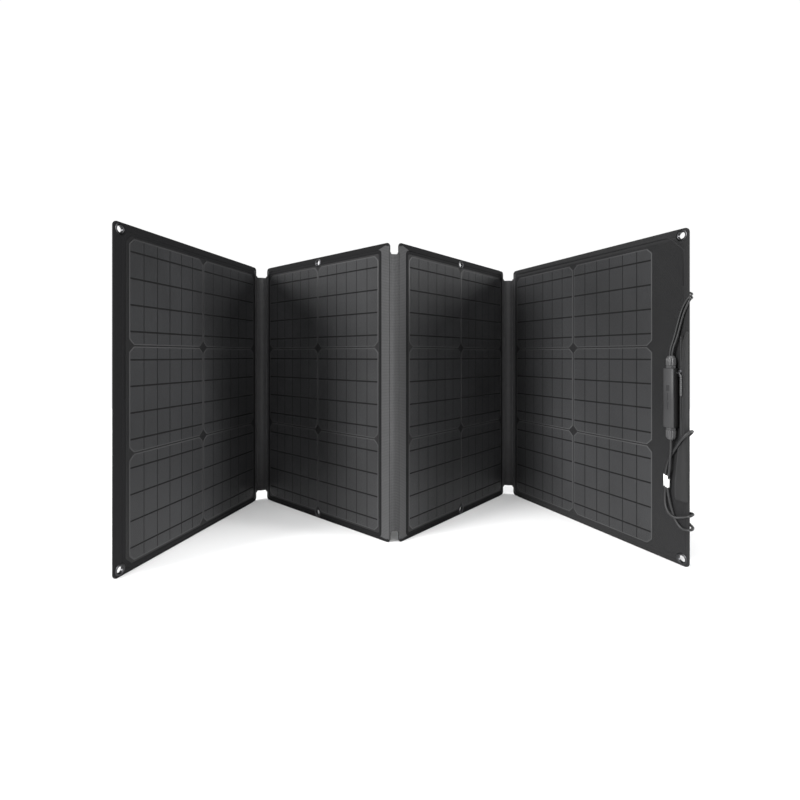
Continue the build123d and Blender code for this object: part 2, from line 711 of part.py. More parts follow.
def lead(route, diameter, name, cut=None):
    """A round tube of straight runs and tangent arcs; prints its radii, length and volume."""
    points = [STRIP.from_local_coords(Vector(*point)) for point in route]
    radii = corner_radii(points)
    with BuildPart() as tube:
        with BuildLine() as path:
            FilletPolyline(*points, radius=radii)
        start = path.line @ 0
        with BuildSketch(Plane(origin=start, z_dir=path.line % 0)):
            Circle(diameter / 2)
        sweep()
        length = path.wires()[0].length
        ratio = tube.part.volume / (pi * diameter**2 / 4 * length)
        if cut is not None:
            add(cut, mode=Mode.SUBTRACT)
    print(name, "radii", [round(radius, 1) for radius in radii])
    print(name, f"length {length:.1f} volume ratio {ratio:.4f}")
    return tube


MODULE_TIP = MODULE_TOP + NUT_TIP
LEAD_EXIT = MODULE_Z - NUT_TIP
WIRE_A_ROUTE = [
    (MODULE_INSET - WIRE_SPACING / 2, PARTING, MODULE_TIP),
    (MODULE_INSET - WIRE_SPACING / 2, PARTING, MODULE_TIP + 8),
    (14.6, 5.6, 342),
    (10.4, 4.1, 362),
    (6.2, 2.9, 380),
    (1.6, 2.3, 392),
    (-2.7, 1.9, 400.5),
    (-2.7, -5.6, 403.5),
    (6.5, -8.6, 407.6),
    (14.0, BACK - OUTLET_DEPTH, OUTLET_HEIGHTS[0]),
    (JUNCTION_INSET - OUTLET_LENGTH, BACK - OUTLET_DEPTH, OUTLET_HEIGHTS[0]),
]
WIRE_B_ROUTE = [
    (MODULE_INSET + WIRE_SPACING / 2, PARTING, MODULE_TIP),
    (MODULE_INSET + WIRE_SPACING / 2, PARTING, MODULE_TIP + 9),
    (18.4, 5.8, 343.5),
    (14.2, 4.4, 364),
    (9.8, 3.1, 383),
    (4.6, 2.4, 396),
    (-2.7, 1.9, 405.5),
    (-2.7, -5.6, 409),
    (6.5, -8.6, 413.0),
    (14.0, BACK - OUTLET_DEPTH, OUTLET_HEIGHTS[1]),
    (JUNCTION_INSET - OUTLET_LENGTH, BACK - OUTLET_DEPTH, OUTLET_HEIGHTS[1]),
]
LEAD_ROUTE = [
    (MODULE_INSET, PARTING, LEAD_EXIT),
    (MODULE_INSET, PARTING, 178),
    (23.1, 7.9, 160),
    (24.4, 7.0, 142),
    (29.2, 5.9, 119),
    (27.2, 4.2, 98),
    (23.4, 2.9, 81),
    (18.2, 2.8, 66),
    (8.6, 2.8, 56),
    (-3.7, 2.7, 58.5),
    (-3.7, -6.3, 60.5),
    (5.0, -6.5, 65),
    (15.0, -6.8, 78),
    (22.0, -6.7, 98),
    (24.5, -6.8, 124),
    (22.5, -6.7, 150),
    (16.5, -6.8, 174),
    (8.0, -6.6, 193),
    (-3.9, -6.3, 205.5),
    (-4.2, 7.2, 204.5),
    (4.4, 10.3, 193.5),
    (13.0, 7.2, 181),
    (20.0, 3.6, 171.5),
    (26.5, 3.0, 161),
    (31.5, 2.9, 147),
    (33.8, 2.8, 131),
    (33.3, 2.9, 114),
    (34.3, 2.8, 98),
    (32.2, 4.8, 84),
    (25.2, 7.4, 74.5),
    (16.2, 7.2, 71.6),
    (6.2, 4.0, 75.0),
    (-3.7, 2.7, 79.5),
    (-3.7, -6.3, 81.5),
    (6.5, -9.8, 79.5),
    (15.0, -12.4, 70),
    (21.0, -14.5, 56),
    (27.0, -18.0, 40),
    (33.0, -24.0, 24),
    (38.5, -33.0, 11),
    (42.2, -43.5, 5.2),
    (43.2, -54.0, 4.2),
    (47.5, -64.0, 4.6),
]
TAIL_ROUTE = [
    (58.0, -78.0, 5.6),
    (69.0, -81.4, 4.6),
    (82.0, -82.2, 3.4),
    (95.0, -81.0, 3.6),
    (106.0, -77.9, PLUG_GRIP_RADIUS),
    (115.0, -74.8, PLUG_GRIP_RADIUS),
]

save(lead(WIRE_A_ROUTE, WIRE_DIAMETER, "input_lead_a"), "input_lead_a")
save(lead(WIRE_B_ROUTE, WIRE_DIAMETER, "input_lead_b"), "input_lead_b")

# the put-away length of the lead: one ring of the turns' outer shape
COIL_PLACE = STRIP.from_local_coords(Vector(COIL_CENTRE[0], COIL_CENTRE[1], 0))
with BuildPart() as coil:
    with BuildSketch(Plane(origin=COIL_PLACE, x_dir=STRIP.x_dir, z_dir=-STRIP.y_dir)):
        with Locations((COIL_RADIUS, COIL_Z + COIL_SECTION / 2)):
            RectangleRounded(COIL_SECTION, COIL_SECTION, LEAD_DIAMETER / 2)
    revolve(axis=Axis(COIL_PLACE, (0, 0, 1)))
save(coil, "lead_coil")

# the lead up to the coil and its tail beyond it are one cord
stretches = [
    lead(LEAD_ROUTE, LEAD_DIAMETER, "output lead", coil.part),
    lead(TAIL_ROUTE, LEAD_DIAMETER, "tail of the lead", coil.part),
]
output_lead = Compound(children=[solid for part in stretches for solid in part.part.solids()])
output_lead.label = "output_lead"
export_step(output_lead, "parts/output_lead.step")
print(f"coiled length {2 * pi * COIL_RADIUS * COIL_TURNS:.0f}")

with BuildPart() as tie:
    angle = radians(TIE_ANGLE)
    outwards = STRIP.x_dir * cos(angle) + STRIP.y_dir * sin(angle)
    sideways = outwards.cross(Vector(0, 0, 1))
    middle = COIL_PLACE + outwards * COIL_RADIUS + Vector(0, 0, COIL_Z + COIL_SECTION / 2)
    band = Plane(origin=middle - sideways * (TIE_WIDTH / 2), x_dir=outwards, z_dir=sideways)
    outer = COIL_SECTION + 2 * TIE_THICKNESS
    with BuildSketch(band):
        RectangleRounded(outer, outer, LEAD_DIAMETER / 2)
    extrude(amount=TIE_WIDTH)
    add(coil.part, mode=Mode.SUBTRACT)
save(tie, "coil_tie")

with BuildPart() as tag:
    left, right, rear, front, low, high = TAG_BOX
    with BuildSketch(STRIP.offset(low)):
        with Locations(((left + right) / 2, (rear + front) / 2)):
            RectangleRounded(right - left, front - rear, 2.0)
            RectangleRounded(
                right - left - 2 * TAG_THICKNESS,
                front - rear - 2 * TAG_THICKNESS,
                1.5,
                mode=Mode.SUBTRACT,
            )
    extrude(amount=high - low)
save(tag, "lead_tag")

# ------------------------------------------------------------------ plug at the lead's end
PLUG_START = STRIP.from_local_coords(Vector(*TAIL_ROUTE[-1]))
PLUG_AXIS = (PLUG_START - STRIP.from_local_coords(Vector(*TAIL_ROUTE[-2]))).normalized()
PLUG_BOOT = Plane(origin=PLUG_START, z_dir=PLUG_AXIS)
PLUG_BODY = PLUG_BOOT.offset(PLUG_BOOT_LENGTH)
PLUG_FACE = PLUG_BODY.offset(PLUG_GRIP_LENGTH)

with BuildPart() as plug_grip:
    with BuildSketch(PLUG_BOOT):
        Circle(LEAD_DIAMETER / 2 + 0.4)
    with BuildSketch(PLUG_BODY):
        Circle(PLUG_GRIP_RADIUS - 1.2)
    loft()
    with BuildSketch(PLUG_BODY):
        Circle(PLUG_GRIP_RADIUS)
    extrude(amount=PLUG_GRIP_LENGTH)
save(plug_grip, "plug_grip")

with BuildPart() as plug_barrel:
    with BuildSketch(PLUG_FACE):
        Circle(PLUG_BARREL_RADIUS)
        Circle(PLUG_BORE, mode=Mode.SUBTRACT)
    extrude(amount=PLUG_BARREL_LENGTH)
save(plug_barrel, "plug_barrel")

with BuildPart() as plug_pin:
    with BuildSketch(PLUG_FACE):
        Circle(PLUG_PIN_RADIUS)
    extrude(amount=PLUG_BARREL_LENGTH - 1)
save(plug_pin, "plug_pin")
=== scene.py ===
import json
from itertools import product
from math import atan2, cos, pi, radians, sin, tan

import bmesh
import bpy
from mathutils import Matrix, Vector, noise


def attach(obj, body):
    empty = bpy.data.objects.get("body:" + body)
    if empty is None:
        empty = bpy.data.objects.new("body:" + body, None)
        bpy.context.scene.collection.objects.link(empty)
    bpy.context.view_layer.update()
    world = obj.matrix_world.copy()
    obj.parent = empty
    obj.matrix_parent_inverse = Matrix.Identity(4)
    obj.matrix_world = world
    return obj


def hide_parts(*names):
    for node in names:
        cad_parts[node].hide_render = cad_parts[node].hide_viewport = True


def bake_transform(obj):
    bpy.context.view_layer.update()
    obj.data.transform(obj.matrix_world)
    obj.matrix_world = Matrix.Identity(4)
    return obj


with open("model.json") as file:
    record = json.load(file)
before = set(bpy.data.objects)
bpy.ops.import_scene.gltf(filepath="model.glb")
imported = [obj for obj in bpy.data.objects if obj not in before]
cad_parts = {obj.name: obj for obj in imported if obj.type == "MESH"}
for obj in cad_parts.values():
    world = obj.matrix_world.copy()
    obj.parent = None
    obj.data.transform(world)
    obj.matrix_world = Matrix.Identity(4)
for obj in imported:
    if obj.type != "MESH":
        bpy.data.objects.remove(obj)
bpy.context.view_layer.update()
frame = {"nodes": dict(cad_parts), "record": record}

# A folding solar panel: four stiff panels in a zig-zag, fabric hinges between them, and a cable
# strip along the last panel's free edge. Lengths below are millimetres; mm() turns them into
# the frame's metres.


def mm(value):
    return value * 0.001


# -------- sizes shared with the CAD
CELL_SIDE = 156.75
CELL_GAP = 2.75
CELL_DIAMETER = 210.0
CELL_ROWS = 3
CELL_COLUMNS = 2
BORDER_BOTTOM = 14.15
BORDER_TOP = 19.1
MARGINS = {1: (26.5, 15.5), 2: (15.5, 25.5), 3: (25.5, 15.5), 4: (15.5, 57.5)}
PANEL_THICKNESS = 3.6
AXIS_GAP = 1.7
NOTCH_DEPTH = 20.5
CORNER_RADIUS = 7.0
GROMMET_HOLE = 5.0
GROMMET_BARREL = 5.6
GROMMET_FLANGE = 8.5
FIELD_WIDTH = CELL_COLUMNS * CELL_SIDE + (CELL_COLUMNS - 1) * CELL_GAP
FIELD_HEIGHT = CELL_ROWS * CELL_SIDE + (CELL_ROWS - 1) * CELL_GAP
PANEL_HEIGHT = BORDER_BOTTOM + FIELD_HEIGHT + BORDER_TOP
FOLDS = {1: ("panel_1", "hinge_1", "panel_2"), 2: ("panel_2", "hinge_2", "panel_3"),
         3: ("panel_3", "hinge_3", "panel_4")}

record = frame["record"]
JOINTS = {joint["name"]: joint for joint in record["behaviour"]["joints"]}
MOUNTS = {mount["name"]: mount for mount in record["mounts"]}


# -------- local frames
class Local:
    """A frame on the object: along is level, up is +Z, out leaves the front face."""

    def __init__(self, origin, along, out):
        self.origin = Vector(origin)
        self.along = Vector(along).normalized()
        self.out = Vector(out).normalized()

    def at(self, u, z, w):
        """World point of u along, z up and w outwards, all in millimetres."""
        return self.origin + self.along * mm(u) + Vector((0, 0, mm(z))) + self.out * mm(w)


def plan(joint):
    x, y, _ = JOINTS[joint]["pos_m"]
    return Vector((x, y, 0))


def panel_frame(k):
    """Origin at the panel's left edge, at the floor, on its back face."""
    out = Vector(MOUNTS[f"eyelet_{k}_low"]["axis"])
    along = Vector((-out.y, out.x, 0))
    width = MARGINS[k][0] + FIELD_WIDTH + MARGINS[k][1]
    if k == 1:
        middle = plan("fold_1_outer") - along * mm(AXIS_GAP + width)
    else:
        left_axis = {2: "fold_1_inner", 3: "fold_2_right", 4: "fold_3_outer"}[k]
        middle = plan(left_axis) + along * mm(AXIS_GAP)
    return Local(middle - out * mm(PANEL_THICKNESS / 2), along, out)


WIDTH = {k: left + FIELD_WIDTH + right for k, (left, right) in MARGINS.items()}
PANELS = {k: panel_frame(k) for k in MARGINS}

# the cable strip: x inwards from the free edge, y out of the front face, z up
FREE = Local(PANELS[4].at(WIDTH[4], 0, PANEL_THICKNESS), -PANELS[4].along, PANELS[4].out)


def strip(x, y, z):
    return FREE.at(x, z, y)


# -------- building blocks
def linked(name, data):
    """A new object in the scene."""
    thing = bpy.data.objects.new(name, data)
    bpy.context.scene.collection.objects.link(thing)
    return thing


def mesh_from(bm, name, smooth=True):
    """The finished mesh, with its faces turned outwards."""
    mesh = bpy.data.meshes.new(name)
    bmesh.ops.recalc_face_normals(bm, faces=bm.faces)
    if bm.calc_volume(signed=True) < 0:
        bmesh.ops.reverse_faces(bm, faces=bm.faces)
    bm.to_mesh(mesh)
    bm.free()
    mesh.shade_smooth() if smooth else mesh.shade_flat()
    return mesh


def new_piece(bm, name, body, *materials, smooth=True):
    """A visible piece that rides on one body."""
    piece = linked(name, mesh_from(bm, name, smooth))
    for material in materials:
        piece.data.materials.append(material)
    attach(piece, body)
    return piece


def skin(bm, loops, material=0):
    """Quads between each closed loop of vertices and the next, band after band."""
    faces = []
    count = len(loops[0])
    for first, second in zip(loops, loops[1:]):
        for i in range(count):
            j = (i + 1) % count
            face = bm.faces.new((first[i], first[j], second[j], second[i]))
            face.material_index = material
            faces.append(face)
    return faces


def loft(bm, rings, caps=True, material=0):
    """Skins a run of rings, each a list of world points, and closes both ends."""
    loops = [[bm.verts.new(point) for point in ring] for ring in rings]
    skin(bm, loops, material)
    if caps:
        for loop in (loops[0], loops[-1]):
            bm.faces.new(loop).material_index = material


def circle(steps):
    """Angles evenly spaced round a full turn."""
    return [2 * pi * i / steps for i in range(steps)]


# -------- camera, floor and light
def make_camera():
    data = bpy.data.cameras.new("camera")
    data.sensor_width = 36
    data.lens = 19.8
    data.shift_x = 0.005
    data.shift_y = -0.0555
    camera = linked("camera", data)
    camera.location = (mm(-18.8), mm(-815.6), mm(317.1))
    camera.rotation_euler = (radians(90), 0, 0)
    bpy.context.scene.camera = camera


def soft_sun(name, direction, angle, strength):
    """Light from far away, softened over an angle in degrees."""
    data = bpy.data.lights.new(name, "SUN")
    data.angle = radians(angle)
    data.energy = strength
    linked(name, data).rotation_euler = Vector(direction).to_track_quat("-Z", "Y").to_euler()


def side_light(name, azimuth, elevation, angle, strength):
    """Soft light from far to one side; azimuth is in degrees from +X, elevation above level."""
    level = cos(radians(elevation))
    towards = Vector((level * cos(radians(azimuth)), level * sin(radians(azimuth)),
                      sin(radians(elevation))))
    soft_sun(name, -towards, angle, strength)


def make_floor():
    """Pale paper that ends not far behind the object, so the panels have a dark horizon."""
    reach = 1.8
    mesh = bpy.data.meshes.new("floor")
    corners = [(-reach, -reach, 0), (reach, -reach, 0), (reach, reach, 0), (-reach, reach, 0)]
    mesh.from_pydata(corners, [], [(0, 1, 2, 3)])
    paper = Material("floor_paper", (0.93, 0.93, 0.93), 1.0, specular=0.0)
    mesh.materials.append(paper.material)
    linked("floor", mesh)


def make_world():
    """A white backdrop for the camera, and a dim room for everything else."""
    world = bpy.data.worlds.new("studio")
    world.use_nodes = True
    nodes = world.node_tree.nodes
    links = world.node_tree.links
    backdrop = nodes["Background"]
    backdrop.inputs["Color"].default_value = (1, 1, 1, 1)
    backdrop.inputs["Strength"].default_value = 1.02
    room = nodes.new("ShaderNodeBackground")
    room.inputs["Color"].default_value = (0.9, 0.95, 1, 1)
    room.inputs["Strength"].default_value = 0.05
    rays = nodes.new("ShaderNodeLightPath")
    mix = nodes.new("ShaderNodeMixShader")
    links.new(rays.outputs["Is Camera Ray"], mix.inputs[0])
    links.new(room.outputs[0], mix.inputs[1])
    links.new(backdrop.outputs[0], mix.inputs[2])
    links.new(mix.outputs[0], nodes["World Output"].inputs["Surface"])
    bpy.context.scene.world = world


def make_stage():
    make_floor()
    make_world()
    bpy.context.scene.view_settings.view_transform = "Standard"
    soft_sun("overhead", direction=(0.0, 0.35, -1.0), angle=80, strength=3.3)
    side_light("left", azimuth=210, elevation=17, angle=24, strength=4.6)
    side_light("right", azimuth=-14, elevation=14, angle=20, strength=3.2)


# -------- materials
class Material:
    """A Principled material with helpers for the procedural parts."""

    def __init__(self, name, color, roughness, metallic=0.0, specular=0.5):
        self.material = bpy.data.materials.new(name)
        self.material.use_nodes = True
        self.nodes = self.material.node_tree.nodes
        self.links = self.material.node_tree.links
        self.shader = self.nodes["Principled BSDF"]
        self.set("Base Color", (*color, 1))
        self.set("Roughness", roughness)
        self.set("Metallic", metallic)
        self.set("Specular IOR Level", specular)

    def set(self, socket, value):
        self.shader.inputs[socket].default_value = value

    def math(self, operation, first, second=0.0):
        node = self.nodes.new("ShaderNodeMath")
        node.operation = operation
        for socket, value in zip(node.inputs, (first, second)):
            if isinstance(value, (int, float)):
                socket.default_value = value
            else:
                self.links.new(value, socket)
        return node.outputs[0]

    def plus(self, first, second):
        return self.math("ADD", first, second)

    def minus(self, first, second):
        return self.math("SUBTRACT", first, second)

    def times(self, first, second):
        return self.math("MULTIPLY", first, second)

    def axes(self, uv=None):
        """The two texture axes of a UV map, or an object's own three axes, in metres."""
        split = self.nodes.new("ShaderNodeSeparateXYZ")
        if uv:
            source = self.nodes.new("ShaderNodeUVMap")
            source.uv_map = uv
            self.links.new(source.outputs["UV"], split.inputs[0])
        else:
            source = self.nodes.new("ShaderNodeTexCoord")
            self.links.new(source.outputs["Object"], split.inputs[0])
        return split.outputs

    def noise(self, scale, detail=3.0, stretch=(1, 1, 1)):
        coordinates = self.nodes.new("ShaderNodeTexCoord")
        mapping = self.nodes.new("ShaderNodeMapping")
        mapping.inputs["Scale"].default_value = stretch
        texture = self.nodes.new("ShaderNodeTexNoise")
        texture.inputs["Scale"].default_value = scale
        texture.inputs["Detail"].default_value = detail
        self.links.new(coordinates.outputs["Object"], mapping.inputs[0])
        self.links.new(mapping.outputs[0], texture.inputs["Vector"])
        return texture.outputs["Fac"]

    def sine(self, axis, pitch, phase=0.0):
        """A wave along an axis, from 0 to 1, with its pitch in millimetres."""
        angle = self.plus(self.times(axis, 2 * pi / mm(pitch)), phase)
        return self.times(self.plus(self.math("SINE", angle), 1.0), 0.5)

    def line(self, axis, count, offset, width):
        """1 on thin lines that repeat count times per unit of the axis, and 0 between them."""
        place = self.math("FRACT", self.plus(self.times(axis, count), offset))
        away = self.math("ABSOLUTE", self.minus(place, 0.5))
        return self.math("LESS_THAN", away, width)

    def ramp(self, socket, name, low, high):
        """Drives a number of the shader from low to high by a 0 to 1 value."""
        node = self.nodes.new("ShaderNodeMapRange")
        node.inputs["To Min"].default_value = low
        node.inputs["To Max"].default_value = high
        self.links.new(socket, node.inputs["Value"])
        self.links.new(node.outputs[0], self.shader.inputs[name])

    def tint(self, socket, low, high):
        """Mixes the base colour from low to high by a 0 to 1 value."""
        node = self.nodes.new("ShaderNodeMix")
        node.data_type = "RGBA"
        node.inputs["A"].default_value = (*low, 1)
        node.inputs["B"].default_value = (*high, 1)
        self.links.new(socket, node.inputs["Factor"])
        self.links.new(node.outputs["Result"], self.shader.inputs["Base Color"])

    def bump(self, socket, depth):
        """Raises the surface by a 0 to 1 value, depth in millimetres."""
        node = self.nodes.new("ShaderNodeBump")
        node.inputs["Distance"].default_value = mm(depth)
        self.links.new(socket, node.inputs["Height"])
        self.links.new(node.outputs[0], self.shader.inputs["Normal"])


RIB_PITCH = 2.6   # of the hinge fabric
THREAD_PITCH = 0.9
EMBOSS_PITCH = 2.3


def shade(color, factor):
    return tuple(channel * factor for channel in color)


def woven(name, color, roughness=0.8, pitch=THREAD_PITCH, uv="panel", specular=0.25):
    """Plain-woven polyester: crossed threads, faded in soft patches."""
    cloth = Material(name, color, roughness, specular=specular)
    along, across = cloth.axes(uv)[:2]
    warp = cloth.sine(along, pitch)
    weft = cloth.sine(across, pitch, pi / 2)
    weave = cloth.times(warp, weft)
    patches = cloth.noise(9.0)
    value = cloth.plus(cloth.times(weave, 0.5), cloth.times(patches, 0.5))
    cloth.tint(value, shade(color, 0.7), shade(color, 1.35))
    cloth.ramp(patches, "Roughness", roughness - 0.06, roughness + 0.08)
    cloth.bump(cloth.plus(weave, cloth.times(patches, 0.4)), 0.12)
    return cloth.material


def ribbed(name, color):
    """Hinge fabric: level ribs with a fine weave between them."""
    cloth = Material(name, color, 0.6, specular=0.35)
    along, up = cloth.axes("panel")[:2]
    ribs = cloth.sine(up, RIB_PITCH)
    weave = cloth.times(cloth.sine(along, THREAD_PITCH), cloth.sine(up, THREAD_PITCH))
    height = cloth.plus(ribs, cloth.times(weave, 0.12))
    cloth.tint(ribs, shade(color, 0.75), shade(color, 1.25))
    cloth.ramp(cloth.noise(14.0), "Roughness", 0.5, 0.68)
    cloth.bump(height, 0.3)
    return cloth.material


def embossed_film(name, color, roughness, lines):
    """Clear film over black: a fine diagonal emboss and, over cells, their duller dark lines.

    Four lines run level across each cell, and five fainter upright ones cross them.
    """
    film = Material(name, color, roughness, specular=0.24)
    along, up = film.axes("panel")[:2]
    rising = film.plus(along, up)
    falling = film.minus(along, up)
    dimples = film.times(film.sine(rising, EMBOSS_PITCH), film.sine(falling, EMBOSS_PITCH))
    clouds = film.noise(6.0, 4.0, (1, 1, 0.6))
    mottled = film.noise(60.0, 2.0)
    height = film.plus(dimples, film.times(mottled, 0.5))
    gloss = film.times(clouds, 0.3)
    value = film.plus(film.times(clouds, 0.7), film.times(dimples, 0.3))
    if lines:
        across, rise = film.axes("cell")[:2]
        level = film.line(rise, count=4.0, offset=0.0, width=0.032)
        upright = film.times(film.line(across, count=6.0, offset=0.5, width=0.026), 0.6)
        marks = film.math("MAXIMUM", level, upright)
        value = film.minus(value, film.times(marks, 2.2))
        height = film.minus(height, film.times(marks, 1.5))
        gloss = film.plus(gloss, marks)
    film.ramp(gloss, "Roughness", roughness - 0.05, roughness + 0.4)
    film.tint(value, shade(color, 0.1), shade(color, 1.9))
    film.bump(height, 0.3)
    return film.material


def moulded(name, color, roughness=0.5, grain=900.0, depth=0.05, specular=0.4):
    """Spark-textured moulded plastic, slightly polished where it is handled."""
    plastic = Material(name, color, roughness, specular=specular)
    fine = plastic.noise(grain, 2.0)
    wear = plastic.noise(35.0, 4.0)
    plastic.tint(wear, shade(color, 0.8), shade(color, 1.25))
    plastic.ramp(wear, "Roughness", roughness - 0.1, roughness + 0.1)
    plastic.bump(fine, depth)
    return plastic.material


def metal(name, color, roughness, grain=400.0):
    """Plated or lacquered metal with fine scratches."""
    plate = Material(name, color, roughness, metallic=1.0)
    scratches = plate.noise(grain, 2.0, (1, 1, 0.1))
    plate.ramp(scratches, "Roughness", roughness - 0.08, roughness + 0.12)
    plate.tint(plate.noise(50.0), shade(color, 0.85), shade(color, 1.1))
    plate.bump(scratches, 0.02)
    return plate.material


make_camera()
make_stage()

BLACK_CLOTH = woven("border_cloth", (0.0065, 0.0065, 0.007), specular=0.16)
STRIP_CLOTH = woven("strip_cloth", (0.013, 0.013, 0.0135))
REAR_CLOTH = woven("rear_cloth", (0.018, 0.018, 0.02), pitch=1.3)
HINGE_CLOTH = ribbed("hinge_cloth", (0.034, 0.034, 0.035))
FIELD_FILM = embossed_film("field_film", (0.007, 0.007, 0.0075), 0.45, lines=False)
CELL_FILM = embossed_film("cell_film", (0.024, 0.0243, 0.0255), 0.4, lines=True)
# a lighter copy of the cell film for the cells' bevelled rims: painted highlight where the rims
# catch the light
RIM_FILM_PAINTED_HIGHLIGHT = embossed_film("cell_rim_painted_highlight", (0.046, 0.046, 0.047), 0.4, lines=False)
CASE = moulded("case_plastic", (0.03, 0.03, 0.031), 0.45)
# a much darker copy of the case plastic for the module's rear shell: painted shade for its sides
# away from the light
CASE_PAINTED_SHADE = moulded("case_body_painted_shade", (0.006, 0.006, 0.006), 0.6, specular=0.15)
GLAND = moulded("gland_plastic", (0.05, 0.05, 0.051), 0.38)
RUBBER = moulded("seal_rubber", (0.02, 0.02, 0.02), 0.6)
SHEATH = moulded("lead_sheath", (0.02, 0.02, 0.0205), 0.45, grain=500.0, depth=0.03, specular=0.3)
GRIP = moulded("plug_rubber", (0.02, 0.02, 0.021), 0.5)
EYELET = metal("black_eyelet", (0.05, 0.05, 0.052), 0.35)
ZINC = metal("zinc", (0.5, 0.5, 0.51), 0.35)
NICKEL = metal("nickel", (0.7, 0.7, 0.69), 0.22)
BRASS = metal("brass", (0.75, 0.58, 0.3), 0.3)
DARK_METAL = metal("zip_metal", (0.08, 0.08, 0.085), 0.38)
PULL_RUBBER = moulded("pull_rubber", (0.05, 0.05, 0.051), 0.5)
ZIP_NYLON = moulded("zip_nylon", (0.035, 0.035, 0.036), 0.45)
PAPER = moulded("tag_film", (0.85, 0.85, 0.84), 0.55, grain=300.0, depth=0.02)
POCKET_FABRIC = woven("pocket_cloth", (0.017, 0.017, 0.0175), 0.72, pitch=1.0)
BLACK_TAPE = woven("zip_tape_cloth", (0.008, 0.008, 0.008), pitch=0.8, uv=None)
THREAD = moulded("thread", (0.04, 0.04, 0.041), 0.7, grain=700.0)
STRAP = woven("tie_strap_cloth", (0.02, 0.02, 0.02), pitch=1.1, uv=None)
PRINT = moulded("print", (0.012, 0.012, 0.013), 0.6)
CIRCUIT = moulded("circuit_board", (0.03, 0.12, 0.06), 0.4)
FIBRE = moulded("fibre_board", (0.5, 0.52, 0.46), 0.7)
SILICON = moulded("silicon", (0.015, 0.018, 0.03), 0.3)
COPPER = metal("tinned_copper", (0.55, 0.54, 0.5), 0.3)

CAD_FINISH = {
    "backing_board": FIBRE, "solar_cells": SILICON, "cell_ribbons": COPPER,
    "hinge_cable": SHEATH, "module_board": CIRCUIT, "gland_seals": RUBBER,
    "junction_base": CASE, "junction_lid": CASE, "junction_terminals": BRASS,
    "cover_screws": ZINC, "plug_pin": BRASS,
}


def finish_cad_nodes():
    """Gives every CAD node that stays in view a finished material."""
    for name, node in frame["nodes"].items():
        base = name.rstrip("_1234") if name[-1].isdigit() else name
        material = CAD_FINISH.get(base)
        if material:
            node.data.materials.clear()
            node.data.materials.append(material)


finish_cad_nodes()


# -------- panels
CORNER_STEPS = 8
LONG_STEPS = 40
SHORT_STEPS = 28
GROMMET_INSET = 10.5
EYELET_STEPS = 40
LAMINATE_LIP = 4.0
LAMINATE_LIP_ENDS = 5.0
LAMINATE_LIP_OUTER = 9.0
LAMINATE_EDGE_CABLES = 6.0
LAMINATE_CORNER = 4.0
LAMINATE_CLIPPED_CORNER = 14.0
FRONT_W = PANEL_THICKNESS
FIELD_W = 3.4
CELL_W = 3.75
TROUGH_WIDTH = 10.5
TROUGH_DEPTH = 2.2
TROUGH_EASE = 2.5
MOAT_DEPTH = {1: 0.55, 2: 0.55, 3: 1.4, 4: 0.55}
BORDER_CLOTH = {1: BLACK_CLOTH, 2: BLACK_CLOTH, 3: BLACK_CLOTH, 4: STRIP_CLOTH}
# the cover's material slots
BORDER, REAR, FIELD, MARGIN = range(4)

# profiles of the cover, as rows of a distance and a height over the panel's back
EDGE_PROFILE = (  # inwards from the edge, from the middle of the back round to the front
    (26.0, 0.0), (1.5, 0.0), (0.5, 0.35), (0.0, 1.3), (0.0, 2.3), (0.5, 3.15), (1.6, 3.55),
    (3.4, FRONT_W), (3.9, 3.45), (4.4, FRONT_W),
)
RIDGE_PROFILE = (  # outwards from the laminate's edge, over its embossed ridge to the field
    (2.7, FRONT_W), (2.0, 3.72), (1.1, 3.85), (0.0, 3.85), (-1.0, 3.7), (-1.8, FIELD_W),
)
CELL_PROFILE = (  # inwards from a cell's edge
    (-0.5, FIELD_W - 0.3), (-0.3, CELL_W - 0.1), (0.4, CELL_W), (1.3, CELL_W),
)
EYELET_PROFILE = (  # out from the hole's axis: the rolled front flange, barrel, and washer
    (GROMMET_HOLE, 3.4), (GROMMET_HOLE + 0.15, 4.0), (5.9, 4.45), (7.0, 4.4), (8.1, 4.05),
    (GROMMET_FLANGE, FRONT_W), (8.0, 3.5), (GROMMET_BARREL, 3.5), (GROMMET_BARREL, -0.1),
    (8.1, -0.1), (GROMMET_FLANGE, -0.35), (8.1, -0.75), (7.0, -0.95), (5.9, -0.95),
    (GROMMET_HOLE + 0.1, -0.6), (GROMMET_HOLE, 0.0),
)


def corner(centre, start, radius):
    """Points of a rounded corner, a quarter turn from the start angle."""
    return [
        (centre[0] + radius * cos(start + pi / 2 * i / CORNER_STEPS),
         centre[1] + radius * sin(start + pi / 2 * i / CORNER_STEPS))
        for i in range(CORNER_STEPS + 1)
    ]


def rounded(u0, u1, z0, z1, radii):
    """A closed outline, anticlockwise from the lower left, with a radius for each corner."""
    r = radii
    arcs = [
        corner((u0 + r[0], z0 + r[0]), pi, r[0]),
        corner((u1 - r[1], z0 + r[1]), 1.5 * pi, r[1]),
        corner((u1 - r[2], z1 - r[2]), 0, r[2]),
        corner((u0 + r[3], z1 - r[3]), 0.5 * pi, r[3]),
    ]
    outline = []
    for index, arc in enumerate(arcs):
        following = arcs[(index + 1) % 4]
        steps = SHORT_STEPS if index % 2 == 0 else LONG_STEPS
        outline += arc
        first, last = arc[-1], following[0]
        outline += [
            (first[0] + (last[0] - first[0]) * i / steps,
             first[1] + (last[1] - first[1]) * i / steps)
            for i in range(1, steps)
        ]
    return outline


